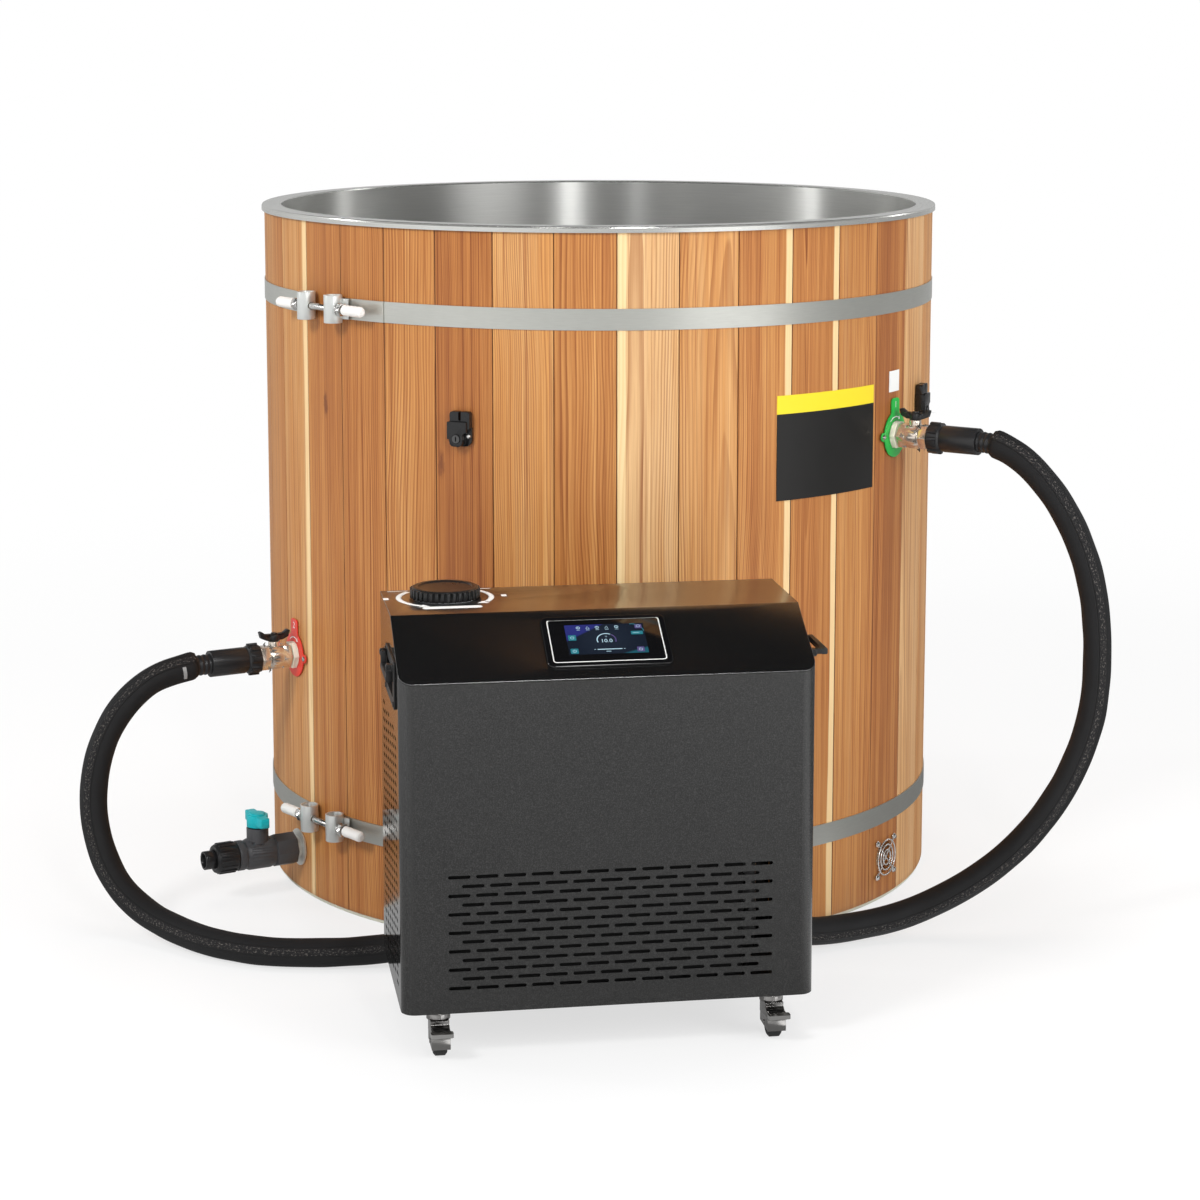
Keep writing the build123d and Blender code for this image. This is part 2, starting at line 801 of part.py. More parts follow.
def slope_place():
    """Local axes on the sloping console: X to the right, Y up the slope, Z out of it."""
    rise = BODY_TOP - FRONT_TOP
    run = math.hypot(SLOPE_RUN, rise)
    plane = Plane(
        origin=(0, -BODY_DEEP / 2, FRONT_TOP),
        x_dir=(1, 0, 0),
        z_dir=(0, -rise / run, SLOPE_RUN / run),
    )
    return plane.location


def side_profile(drop, x_from, x_to):
    """The body's outline seen from the side, lowered by drop, as a wide prism."""
    front = -BODY_DEEP / 2
    outline = Polyline(
        [
            (x_from, front - 5, 0),
            (x_from, front - 5, FRONT_TOP - drop - 5 * (BODY_TOP - FRONT_TOP) / SLOPE_RUN),
            (x_from, front + SLOPE_RUN, BODY_TOP - drop),
            (x_from, -front + 5, BODY_TOP - drop),
            (x_from, -front + 5, 0),
        ],
        close=True,
    )
    return extrude(make_face(outline), x_to - x_from, dir=(1, 0, 0))


def plan_prism(inset, z_low, z_high):
    """The body seen from above, its front corners rounded, drawn in by inset."""
    half = BODY_WIDE / 2 - inset
    front = -BODY_DEEP / 2 + inset
    shape = block(-half, half, front, BODY_DEEP / 2, z_low, z_high)
    corners = shape.edges().filter_by(Axis.Z).group_by(Axis.Y)[0]
    return fillet(corners, CORNER_R - inset)


def slot_tool(long, tall, depth):
    """One round-ended slot cutter, lying along X and cutting along Y."""
    return Rot(90, 0, 0) * extrude(SlotOverall(long, tall), depth, both=True)


def front_slots():
    tool = slot_tool(SLOT_LONG, SLOT_TALL, 4)
    made = []
    for row in range(FRONT_SLOT_ROWS):
        shift = row % 2
        for number in range(FRONT_SLOT_COUNT - shift):
            left = FRONT_SLOT_FROM + FRONT_SLOT_PITCH * (number + 0.5 * shift)
            x = left + SLOT_LONG / 2 - BODY_WIDE / 2
            z = FRONT_SLOT_LOW + FRONT_SLOT_ROW * row
            made.append(Pos(x, -BODY_DEEP / 2, z) * tool)
    return made


def side_slots(side):
    tool = Rot(0, 0, 90) * slot_tool(SIDE_SLOT_LONG, SIDE_SLOT_TALL, 4)
    made = []
    middle = (SIDE_SLOT_COLUMNS - 1) / 2
    for column in range(SIDE_SLOT_COLUMNS):
        y = SIDE_SLOT_PITCH * (column - middle) + 8
        lift = 0.5 * SIDE_SLOT_ROW * (column % 2)
        for row in range(SIDE_SLOT_ROWS):
            z = SIDE_SLOT_LOW + lift + SIDE_SLOT_ROW * row
            made.append(Pos(side * BODY_WIDE / 2, y, z) * tool)
    return made


def handle_window(side):
    """The opening in the cabinet's side behind a handle."""
    x = side * BODY_WIDE / 2
    half = HANDLE_LONG / 2 - 12
    return block(x - 6, x + 6, HANDLE_Y - half, HANDLE_Y + half, HANDLE_Z - 22, HANDLE_Z + 22)


def cabinet_wrap():
    """The front and both sides, bent from one sheet."""
    outer = plan_prism(0, BODY_LOW, BODY_TOP + 5)
    inner = plan_prism(SHEET, BODY_LOW - 1, BODY_TOP + 10)
    deeper = block(
        -BODY_WIDE / 2 + SHEET, BODY_WIDE / 2 - SHEET, 0, BODY_DEEP, BODY_LOW - 1, BODY_TOP + 10
    )
    shell = outer - inner - deeper
    shell = shell & side_profile(COVER_SHEET + 0.3, -BODY_WIDE, BODY_WIDE)
    tools = front_slots() + side_slots(-1) + side_slots(1)
    tools += [handle_window(-1), handle_window(1)]
    return shell - tools


def top_cover():
    """The sloping console and the flat top, bent from one sheet."""
    sheet = side_profile(0, -BODY_WIDE, BODY_WIDE) - side_profile(COVER_SHEET, -BODY_WIDE, BODY_WIDE)
    sheet = sheet & plan_prism(0, FRONT_TOP - 2, BODY_TOP + 5)
    sheet = sheet - Pos(FILTER_X, FILTER_Y, 0) * rod(FILTER_NECK_R + 4.6, BODY_TOP - 10, BODY_TOP + 5)
    cutout = block(-GLASS_WIDE / 2, GLASS_WIDE / 2, -GLASS_TALL / 2, GLASS_TALL / 2, -8, 8)
    return sheet - slope_place() * Pos(DISPLAY_X, DISPLAY_UP, 0) * cutout


def display_panel():
    """The raised frame and the glass that fills it."""
    frame = block(
        -DISPLAY_WIDE / 2, DISPLAY_WIDE / 2, -DISPLAY_TALL / 2, DISPLAY_TALL / 2, 0.1, DISPLAY_THICK
    )
    frame = fillet(frame.edges().filter_by(Axis.Z), 9)
    window = block(
        -GLASS_WIDE / 2 + 2, GLASS_WIDE / 2 - 2, -GLASS_TALL / 2 + 2, GLASS_TALL / 2 - 2, -1, 10
    )
    frame = chamfer(frame.edges().group_by(Axis.Z)[-1], 1.2)
    frame = frame - window
    glass = block(
        -GLASS_WIDE / 2 + 2.2, GLASS_WIDE / 2 - 2.2, -GLASS_TALL / 2 + 2.2, GLASS_TALL / 2 - 2.2,
        -5, DISPLAY_THICK - 0.8,
    )
    place = slope_place() * Pos(DISPLAY_X, DISPLAY_UP, 0)
    return place * frame, place * glass


def back_ports():
    return ((PORT_LEFT_X, -1), (PORT_RIGHT_X, 1))


def back_panel():
    half = BODY_WIDE / 2 - SHEET - 0.3
    y_out = BODY_DEEP / 2 - 1
    panel = block(-half, half, y_out - SHEET, y_out, BODY_LOW + 4, BODY_TOP - COVER_SHEET - 0.5)
    for x, _ in back_ports():
        panel = panel - Pos(x, y_out, PORT_Z) * Rot(90, 0, 0) * Cylinder(14, 20)
    tool = slot_tool(40, 5, 6)
    grille = []
    for row in range(12):
        for number in range(4):
            x = -150 + 52 * number + 26 * (row % 2)
            grille.append(Pos(x, y_out, 290 + 14 * row) * tool)
    panel = panel - grille
    socket = block(180, 208, y_out - 4, y_out + 4, 440, 464)
    return panel - socket


def power_inlet():
    """A recessed mains inlet with a raised frame."""
    y_out = BODY_DEEP / 2 - 1
    frame = block(172, 216, y_out + 0.1, y_out + 3, 434, 470)
    body = block(181, 207, y_out - 24, y_out + 0.1, 441, 463)
    return frame + body - block(184, 204, y_out - 18, y_out + 5, 444, 460)


def elbow(x, side):
    """A hose elbow: a stub out of the back panel, a ball corner and an angled arm."""
    corner_y = BODY_DEEP / 2 + PORT_STAND
    lean = math.radians(ELBOW_OUT)
    drop = math.radians(ELBOW_DOWN)
    arm_dir = (
        side * math.cos(drop) * math.cos(lean),
        math.cos(drop) * math.sin(lean),
        -math.sin(drop),
    )
    corner = Pos(x, corner_y, PORT_Z)
    stub_from = BODY_DEEP / 2 - 18
    stub = Pos(x, (corner_y + stub_from) / 2, PORT_Z) * Rot(90, 0, 0)
    stub = stub * Cylinder(13, corner_y - stub_from)
    flange = Pos(x, BODY_DEEP / 2 + 1.7, PORT_Z) * Rot(90, 0, 0) * Cylinder(21, 5)
    arm_place = Plane(origin=(x, corner_y, PORT_Z), z_dir=arm_dir).location
    arm = arm_place * rod(ELBOW_R, 0, ELBOW_ARM)
    collar = arm_place * rod(ELBOW_R + 2.5, ELBOW_ARM - 14, ELBOW_ARM)
    body = stub + flange + corner * Sphere(ELBOW_R) + arm + collar
    return body - arm_place * rod(10, 4, ELBOW_ARM + 1)


def base_pan():
    half = BODY_WIDE / 2 - SHEET - 0.4
    front = -BODY_DEEP / 2 + SHEET + 0.4
    back = BODY_DEEP / 2 - 3
    outer = block(-half, half, front, back, BODY_LOW, BODY_LOW + 10)
    outer = fillet(outer.edges().filter_by(Axis.Z).group_by(Axis.Y)[0], CORNER_R - SHEET - 0.4)
    inner = block(
        -half + 1.6, half - 1.6, front + 1.6, back - 1.6, BODY_LOW + 1.6, BODY_LOW + 30
    )
    inner = fillet(inner.edges().filter_by(Axis.Z).group_by(Axis.Y)[0], CORNER_R - SHEET - 2)
    return outer - inner


# Filter and its cap


def filter_housing():
    canister = pipe(44, 41, 330, BODY_TOP - 12)
    shoulder = pipe(44, FILTER_NECK_R + 0.4, BODY_TOP - 12, BODY_TOP - 4)
    neck = pipe(FILTER_NECK_R + 3.8, FILTER_NECK_R + 0.4, BODY_TOP - 4, BODY_TOP + 0.8)
    floor_disc = rod(44, 326, 330)
    housing = canister + shoulder + neck + floor_disc
    cartridge = pipe(33, 14, 331, 500)
    place = Pos(FILTER_X, FILTER_Y, 0)
    return place * housing, place * cartridge


def filter_cap():
    low = BODY_TOP + 1.2
    top = BODY_TOP + FILTER_CAP_TALL
    cap = turned(
        [
            (0, low - 16),
            (FILTER_NECK_R, low - 16),
            (FILTER_NECK_R, low),
            (FILTER_CAP_R - 2.6, low),
            (FILTER_CAP_R - 2.6, top - 1.5),
            (FILTER_CAP_R - 4.5, top),
            (FILTER_CAP_R - 10, top),
            (FILTER_CAP_R - 11, top - 1.5),
            (0, top - 1.5),
        ]
    )
    rib = block(FILTER_CAP_R - 4.5, FILTER_CAP_R, -2.2, 2.2, low, top - 2)
    rib = fillet(rib.edges().filter_by(Axis.Z).group_by(Axis.X)[-1], 1.2)
    for number in range(FILTER_RIBS):
        cap = cap + Rot(0, 0, 360.0 / FILTER_RIBS * number) * rib
    return Pos(FILTER_X, FILTER_Y, 0) * cap


# Side handles


def handle_cup(side):
    """The screwed plate with a finger cup and two ears for the grip's pins."""
    half = HANDLE_LONG / 2
    tall = HANDLE_TALL / 2
    plate = block(0.1, 2.6, -half, half, -tall, tall)
    plate = fillet(plate.edges().filter_by(Axis.X), 4)
    cup = block(-22, 1, -half + 14, half - 14, -20, 20)
    cup = cup - block(-20, 3, -half + 16, half - 16, -18, 18)
    body = plate - block(-1, 3, -half + 16, half - 16, -18, 18) + cup
    lift = GRIP_Z - HANDLE_Z
    for end in (-1, 1):
        y = end * (GRIP_LONG / 2 + 4.4)
        ear = block(1, GRIP_PIVOT + 4.5, y - 3.5, y + 3.5, lift - 4.5, lift + 4.5)
        body = body + fillet(ear.edges().filter_by(Axis.Y).group_by(Axis.X)[-1], 3)
    pin_axis = Pos(GRIP_PIVOT, 0, lift) * Rot(90, 0, 0)
    body = body - pin_axis * Cylinder(PIN_R + STEM_CLEAR, 200)
    for y in (-half + 5.5, half - 5.5):
        for z in (-tall + 6.5, tall - 6.5):
            head = Pos(2.6, y, z) * Rot(0, 90, 0) * Cylinder(3.4, 3)
            body = body + head
    turn = 0 if side > 0 else 180
    return Pos(side * BODY_WIDE / 2, HANDLE_Y, HANDLE_Z) * Rot(0, 0, turn) * body


def grip(side, hanging):
    """A folding U grip on two pins, standing straight out or hanging down."""
    half = GRIP_LONG / 2
    thick = GRIP_BAR / 2
    reach = GRIP_REACH - GRIP_PIVOT
    bar = block(reach - GRIP_BAR, reach, -half, half, -thick, thick)
    bar = fillet(bar.edges().filter_by(Axis.Y), 2)
    body = bar
    for end in (-1, 1):
        y = end * (half - 3.5)
        arm = block(-3.5, reach - 2, y - 3.5, y + 3.5, -3.5, 3.5)
        arm = fillet(arm.edges().filter_by(Axis.Y).group_by(Axis.X)[0], 3)
        body = body + arm
        pin_y = end * (half + 3.5)
        body = body + Pos(0, pin_y, 0) * Rot(90, 0, 0) * Cylinder(PIN_R, 8)
    pose = Rot(0, 90, 0) if hanging else Rot(0, 0, 0)
    turn = 0 if side > 0 else 180
    place = Pos(side * BODY_WIDE / 2, HANDLE_Y, GRIP_Z) * Rot(0, 0, turn)
    return place * Pos(GRIP_PIVOT, 0, 0) * pose * body


# Insides of the chiller


def refrigeration_unit():
    """The compressor can, the evaporator drum and the pipe between them."""
    floor_z = BODY_LOW + 1.8
    can = turned(
        [
            (0, floor_z + 8),
            (52, floor_z + 8),
            (55, floor_z + 14),
            (55, floor_z + 130),
            (46, floor_z + 152),
            (20, floor_z + 160),
            (0, floor_z + 160),
        ]
    )
    feet = block(-62, 62, -45, 45, floor_z, floor_z + 8.2)
    compressor = Pos(165, 40, 0) * (can + feet)
    drum = Pos(60, 70, 0) * rod(42, floor_z + 90, floor_z + 330)
    legs = Pos(60, 70, 0) * block(-25, 25, -25, 25, floor_z, floor_z + 90.2)
    line = Pos(0, 0, floor_z + 170) * block(98, 122, 52, 60, -4, 4)
    return compressor, drum + legs, line


def condenser_coil():
    """A finned block with hairpin tubes at both ends."""
    floor_z = BODY_LOW + 1.8
    low = floor_z + 4
    half = COIL_WIDE / 2
    core = block(-half, half, COIL_Y - COIL_DEEP / 2, COIL_Y + COIL_DEEP / 2, low, low + COIL_TALL)
    tray = block(-half, half, COIL_Y - 12, COIL_Y + 12, floor_z, low)
    coil = core + tray
    for row in range(5):
        z = low + 20 + 36 * row
        for end in (-1, 1):
            bend = Pos(end * half, COIL_Y, z + 8) * Rot(90, 0, 0) * Torus(8, 3.2)
            coil = coil + bend
    return Pos(FAN_X, 0, 0) * coil


def fan_motor():
    """The fan's shroud plate, its ring, three struts and the motor."""
    y_plate = COIL_Y + COIL_DEEP / 2 + 4
    plate = block(-110, 110, y_plate, y_plate + 2, BODY_LOW + 1.8, BODY_LOW + 205)
    opening = Pos(0, y_plate, FAN_Z) * Rot(90, 0, 0) * Cylinder(FAN_R + 4, 20)
    ring_outer = Pos(0, y_plate + 14, FAN_Z) * Rot(90, 0, 0) * Cylinder(FAN_R + 6, 28)
    ring_inner = Pos(0, y_plate + 14, FAN_Z) * Rot(90, 0, 0) * Cylinder(FAN_R + 4, 40)
    motor = Pos(0, y_plate + 42, FAN_Z) * Rot(90, 0, 0) * Cylinder(24, 28)
    shroud = plate - opening + (ring_outer - ring_inner) + motor
    for turn in (90, 210, 330):
        strut = block(15, FAN_R + 5.5, -4, 4, -3, 3)
        strut = Rot(0, turn, 0) * Rot(90, 0, 0) * strut
        shroud = shroud + Pos(0, y_plate + 30.5, FAN_Z) * strut
    shaft_hole = Pos(0, y_plate + 30, FAN_Z) * Rot(90, 0, 0) * Cylinder(3 + STEM_CLEAR, 20)
    return Pos(FAN_X, 0, 0) * (shroud - shaft_hole)


def fan_blades():
    y_mid = COIL_Y + COIL_DEEP / 2 + 16
    hub = Rot(90, 0, 0) * Cylinder(18, 14)
    fan = hub + Pos(0, 12, 0) * Rot(90, 0, 0) * Cylinder(3, 16)
    for number in range(FAN_BLADES):
        blade = block(14, FAN_R, -1, 1, -17, 17)
        blade = Rot(28, 0, 0) * blade
        fan = fan + Rot(0, 360.0 / FAN_BLADES * number, 0) * blade
    trim = Rot(90, 0, 0) * Cylinder(FAN_R, 60)
    return Pos(FAN_X, y_mid, FAN_Z) * (fan & trim)


def water_pump():
    floor_z = BODY_LOW + 1.8
    volute = Pos(-150, 60, floor_z + 46) * Rot(90, 0, 0) * Cylinder(38, 34)
    motor = Pos(-150, 12, floor_z + 46) * Rot(90, 0, 0) * Cylinder(30, 64)
    foot = block(-180, -120, -10, 72, floor_z, floor_z + 14)
    spout = Pos(-150, 60, floor_z + 92) * Cylinder(11, 30)
    return volute + motor + foot + spout


# Casters


def caster_spots():
    return (
        ("front_left", -1, CASTER_FRONT_Y, True),
        ("front_right", 1, CASTER_FRONT_Y, True),
        ("rear_left", -1, CASTER_REAR_Y, False),
        ("rear_right", 1, CASTER_REAR_Y, False),
    )


def caster_fork(braked):
    """The hood with two cheeks that hold the axle, the swivel stem and a braked fork's ears."""
    wide = WHEEL_WIDE / 2 + 1.2 + FORK_WALL
    axle_y = -CASTER_TRAIL
    hood = Pos(0, axle_y, WHEEL_R) * Rot(0, 90, 0) * Cylinder(WHEEL_R + 4.5, 2 * wide)
    hood = hood + block(-wide, wide, axle_y - 8, 13, WHEEL_R + 6, 46)
    hood = hood - Pos(0, axle_y, WHEEL_R) * Rot(0, 90, 0) * Cylinder(WHEEL_R + 2.2, 2 * wide - 2 * FORK_WALL)
    hood = hood - block(-40, 40, -60, 40, -10, WHEEL_R - 5)
    head = rod(15, 44, 52)
    stem = rod(SWIVEL_R, 50, 57)
    axle = Pos(0, axle_y, WHEEL_R) * Rot(0, 90, 0) * Cylinder(AXLE_R, 2 * wide + 2)
    fork = hood + head + stem + axle
    if braked:
        for side in (-1, 1):
            x_in = side * (wide - FORK_WALL)
            x_out = side * wide
            low_x = min(x_in, x_out)
            ear = block(low_x, low_x + FORK_WALL, PEDAL_Y - 3.5, axle_y - 8, PEDAL_Z - 4, PEDAL_Z + 4)
            fork = fork + ear
        pin_bore = Pos(0, PEDAL_Y, PEDAL_Z) * Rot(0, 90, 0) * Cylinder(PEDAL_PIN_R + STEM_CLEAR, 60)
        fork = fork - pin_bore
    return fork


def caster_wheel():
    wheel = turned(
        [
            (AXLE_R + STEM_CLEAR, -WHEEL_WIDE / 2),
            (WHEEL_R - 3, -WHEEL_WIDE / 2),
            (WHEEL_R, -WHEEL_WIDE / 2 + 2.5),
            (WHEEL_R, WHEEL_WIDE / 2 - 2.5),
            (WHEEL_R - 3, WHEEL_WIDE / 2),
            (AXLE_R + STEM_CLEAR, WHEEL_WIDE / 2),
        ]
    )
    return Pos(0, -CASTER_TRAIL, WHEEL_R) * Rot(0, 90, 0) * wheel


def brake_pedal():
    """A stepped pedal on a pin across the fork's front."""
    inside = WHEEL_WIDE / 2 + 0.7
    pin = Rot(0, 90, 0) * Cylinder(PEDAL_PIN_R, 2 * (inside + FORK_WALL))
    knuckle = Rot(0, 90, 0) * Cylinder(2.8, 2 * inside)
    arm = block(-inside, inside, -8, 0, 0, 2.6)
    tread = block(-14, 14, -17, -5, 1.5, 6.5)
    tread = fillet(tread.edges().filter_by(Axis.Z), 3)
    return Pos(0, PEDAL_Y, PEDAL_Z) * (pin + knuckle + arm + tread)


def caster_plate():
    """The mounting plate with its swivel race."""
    half = PLATE_SIDE / 2
    plate = block(-half, half, -half, half, CASTER_TOP - 2.6, CASTER_TOP - 0.1)
    plate = fillet(plate.edges().filter_by(Axis.Z), 4)
    race = rod(17, 52.4, CASTER_TOP - 2.6)
    return plate + race - rod(SWIVEL_R + STEM_CLEAR, 50, CASTER_TOP - 2.5)


def build_tub():
    save("staves", *staves())
    save("base_plate", base_plate())
    save("foam_insulation", *foam_insulation())
    save("liner_wall", liner_wall())
    save("liner_floor", liner_floor())
    save("rim_ring", rim_ring())
    save("hoop_bands", *hoop_bands())
    save("hoop_lugs", *hoop_lugs())
    save("tension_bolts", *tension_bolts())
    save("bolt_end_caps", *bolt_end_caps())
    save("wall_plates", *wall_plates())
    save("wall_screws", *wall_screws())
    save("vent_guard", wall_place(VENT_ANGLE, VENT_Z) * vent_guard())
    clip = cover_clip()
    save("cover_clips", *[wall_place(angle, CLIP_Z) * clip for angle in CLIP_ANGLES])
    for number, angle in enumerate(CLIP_ANGLES, start=1):
        save(f"clip_lock_{number}", wall_place(angle, CLIP_Z) * lock_barrel())


def build_fittings():
    inlet = wall_place(INLET_ANGLE, INLET_Z)
    outlet = wall_place(OUTLET_ANGLE, OUTLET_Z)
    for name, maker in (
        ("port_bulkheads", port_bulkhead),
        ("port_locknuts", port_locknut),
        ("valve_bodies", valve_body),
        ("union_nuts", union_nut),
        ("hose_tails", hose_tail),
    ):
        shape = maker()
        save(name, inlet * shape, outlet * shape)
    for name, place in (("inlet", inlet), ("outlet", outlet)):
        save(f"{name}_tag", place * port_tag())
        save(f"{name}_valve_handle", place * butterfly_handle(), place * valve_ball())
    drain = wall_place(DRAIN_ANGLE, DRAIN_Z)
    save("drain_fitting", *[drain * shape for shape in drain_fitting()])
    save("drain_valve_body", drain * drain_valve_body())
    save("drain_valve_handle", drain * drain_handle(), drain * drain_ball())
    save("drain_coupling", *[drain * shape for shape in drain_coupling()])
    save("inlet_hose", hose("inlet_hose", INLET_ROUTE))
    save("outlet_hose", hose("outlet_hose", OUTLET_ROUTE))


def build_chiller():
    place = chiller_place()
    save("cabinet_wrap", place * cabinet_wrap())
    save("top_cover", place * top_cover())
    save("back_panel", place * back_panel())
    save("base_pan", place * base_pan())
    save("display_panel", *[place * shape for shape in display_panel()])
    save("filter_housing", *[place * shape for shape in filter_housing()])
    save("filter_cap", place * filter_cap())
    save("handle_cups", place * handle_cup(-1), place * handle_cup(1))
    save("left_grip", place * grip(-1, True))
    save("right_grip", place * grip(1, False))
    save("back_ports", *[place * elbow(x, side) for x, side in back_ports()], place * power_inlet())
    save("refrigeration_unit", *[place * shape for shape in refrigeration_unit()])
    save("condenser_coil", place * condenser_coil())
    save("fan_motor", place * fan_motor())
    save("fan_blades", place * fan_blades())
    save("water_pump", place * water_pump())


def build_casters():
    place = chiller_place()
    wheel = caster_wheel()
    plates = []
    for name, side, y, braked in caster_spots():
        spot = place * Pos(side * CASTER_X, y, 0)
        save(f"{name}_fork", spot * caster_fork(braked))
        save(f"{name}_wheel", spot * wheel)
        if braked:
            save(f"{name}_pedal", spot * brake_pedal())
        plates.append(spot * caster_plate())
    save("caster_plates", *plates)


build_tub()
build_fittings()
build_chiller()
build_casters()
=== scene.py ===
import json
import math
import random

import bpy
from mathutils import Matrix, Vector


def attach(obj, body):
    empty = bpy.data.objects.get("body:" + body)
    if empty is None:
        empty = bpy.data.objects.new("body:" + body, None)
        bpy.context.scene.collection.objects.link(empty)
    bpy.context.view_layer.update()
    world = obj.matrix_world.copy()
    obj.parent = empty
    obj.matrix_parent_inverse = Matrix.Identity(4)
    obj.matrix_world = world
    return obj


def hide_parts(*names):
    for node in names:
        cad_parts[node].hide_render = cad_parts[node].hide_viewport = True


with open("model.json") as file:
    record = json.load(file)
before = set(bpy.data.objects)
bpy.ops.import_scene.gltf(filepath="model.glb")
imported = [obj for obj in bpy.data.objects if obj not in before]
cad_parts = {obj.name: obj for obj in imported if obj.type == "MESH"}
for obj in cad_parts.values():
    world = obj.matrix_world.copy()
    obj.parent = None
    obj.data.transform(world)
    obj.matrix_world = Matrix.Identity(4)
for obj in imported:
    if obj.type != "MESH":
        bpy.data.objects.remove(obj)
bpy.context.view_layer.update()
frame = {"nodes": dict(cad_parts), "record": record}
nodes = frame["nodes"]
ROOT = "tub_and_chiller"

TUB_R = 0.5
STAVE_COUNT = 37
STAVE_WIDTH = 2 * math.pi * TUB_R / STAVE_COUNT
FIRST_SEAM = math.radians(-65.3)
CHILLER_SPOT = Vector((-0.006, -0.760, 0.0))
CHILLER_TURN = math.radians(9.0)
CHILLER_RIGHT = Vector((math.cos(CHILLER_TURN), math.sin(CHILLER_TURN), 0.0))
CHILLER_HALF_WIDTH = 0.260


# Shader maths


class Wire:
    """One shader output that can be used in ordinary arithmetic."""

    def __init__(self, finish, socket):
        self.finish = finish
        self.socket = socket

    def maths(self, operation, *others, **settings):
        values = dict(enumerate((self, *others)))
        return self.finish.add("ShaderNodeMath", {"operation": operation, **settings}, values)

    def __add__(self, other):
        return self.maths("ADD", other)

    __radd__ = __add__

    def __sub__(self, other):
        return self.maths("SUBTRACT", other)

    def __rsub__(self, other):
        return (self * -1.0) + other

    def __mul__(self, other):
        return self.maths("MULTIPLY", other)

    __rmul__ = __mul__

    def __truediv__(self, other):
        return self.maths("DIVIDE", other)

    def __pow__(self, other):
        return self.maths("POWER", other)

    def floor(self):
        return self.maths("FLOOR")

    def fract(self):
        return self.maths("FRACT")

    def size(self):
        return self.maths("ABSOLUTE")

    def least(self, other):
        return self.maths("MINIMUM", other)

    def most(self, other):
        return self.maths("MAXIMUM", other)

    def rise(self, low, high):
        """0 below low, 1 above high, smooth between."""
        settings = {"interpolation_type": "SMOOTHSTEP"}
        return self.finish.add("ShaderNodeMapRange", settings, {0: self, 1: low, 2: high, 3: 0.0, 4: 1.0})

    def bell(self, middle, width):
        """1 at middle, falling to 0 at width away."""
        return 1.0 - (self - middle).size().rise(0.0, width)


class Finish:
    """One material, built from a Principled shader."""

    def __init__(self, name, colour=(0.8, 0.8, 0.8), rough=0.5, metal=0.0, coat=0.0, **more):
        self.material = bpy.data.materials.new(name)
        self.material.use_nodes = True
        self.tree = self.material.node_tree
        self.shader = self.tree.nodes["Principled BSDF"]
        self.set("Base Color", colour)
        self.set("Roughness", rough)
        self.set("Metallic", metal)
        self.set("Coat Weight", coat)
        for name_of_socket, value in more.items():
            self.set(name_of_socket.replace("_", " "), value)

    def plug(self, socket, value):
        if isinstance(value, Wire):
            self.tree.links.new(value.socket, socket)
        elif isinstance(value, (tuple, list)) and len(value) == 3 and socket.type == "RGBA":
            socket.default_value = (*value, 1.0)
        else:
            socket.default_value = value

    def set(self, name, value):
        self.plug(self.shader.inputs[name], value)

    def add(self, kind, settings=None, values=None, output=0):
        node = self.tree.nodes.new(kind)
        for key, value in (settings or {}).items():
            if key == "stops":
                ramp = node.color_ramp.elements
                while len(ramp) < len(value):
                    ramp.new(1.0)
                for stop, (place, colour) in zip(ramp, value):
                    stop.position = place
                    stop.color = (*colour, 1.0)
            elif key == "hold":
                node.color_ramp.interpolation = "CONSTANT"
            else:
                setattr(node, key, value)
        for key, value in (values or {}).items():
            self.plug(node.inputs[key], value)
        return Wire(self, node.outputs[output])

    def place(self):
        return self.add("ShaderNodeTexCoord", output=3)

    def wrap(self):
        return self.add("ShaderNodeUVMap", {"uv_map": "Wrap"})

    def axes(self, vector):
        parts = self.add("ShaderNodeSeparateXYZ", values={0: vector})
        outputs = parts.socket.node.outputs
        return [Wire(self, outputs[index]) for index in range(3)]

    def vector(self, x=0.0, y=0.0, z=0.0):
        return self.add("ShaderNodeCombineXYZ", values={0: x, 1: y, 2: z})

    def noise(self, vector, scale=1.0, detail=2.0, rough=0.5):
        values = {"Vector": vector, "Scale": scale, "Detail": detail, "Roughness": rough}
        return self.add("ShaderNodeTexNoise", None, values)

    def dice(self, number):
        """A random value from 0 to 1 for each whole number."""
        return self.add("ShaderNodeTexWhiteNoise", {"noise_dimensions": "1D"}, {"W": number})

    def mix(self, factor, first, second, way="MIX"):
        settings = {"data_type": "RGBA", "blend_type": way}
        return self.add("ShaderNodeMix", settings, {0: factor, 6: first, 7: second}, 2)

    def ramp(self, factor, *stops):
        return self.add("ShaderNodeValToRGB", {"stops": stops}, {0: factor})

    def chosen(self, number, picks):
        """1 where the whole number is one of the picks, else 0."""
        found = 0.0
        for pick_number in picks:
            found = (number - pick_number).size().maths("LESS_THAN", 0.5) + found
        return found

    def dot(self, direction):
        """How far each point lies along a direction."""
        values = {0: self.place(), 1: tuple(direction)}
        return self.add("ShaderNodeVectorMath", {"operation": "DOT_PRODUCT"}, values, 1)

    def bump(self, height, distance, strength):
        values = {"Height": height, "Distance": distance, "Strength": strength}
        self.set("Normal", self.add("ShaderNodeBump", None, values))


# Finishes


def tub_angle(finish):
    """The angle round the tub from its front, the distance from its axis, and the height."""
    x, y, z = finish.axes(finish.place())
    return x.maths("ARCTAN2", y * -1.0), (x * x + y * y) ** 0.5, z


def around_tub(finish):
    """Stave number, place across the stave in metres, and height."""
    angle, _, z = tub_angle(finish)
    turns = ((angle - FIRST_SEAM) / (2 * math.pi)).fract() * STAVE_COUNT
    number = turns.floor()
    across = (turns - number - 0.5) * STAVE_WIDTH
    return number, across, z


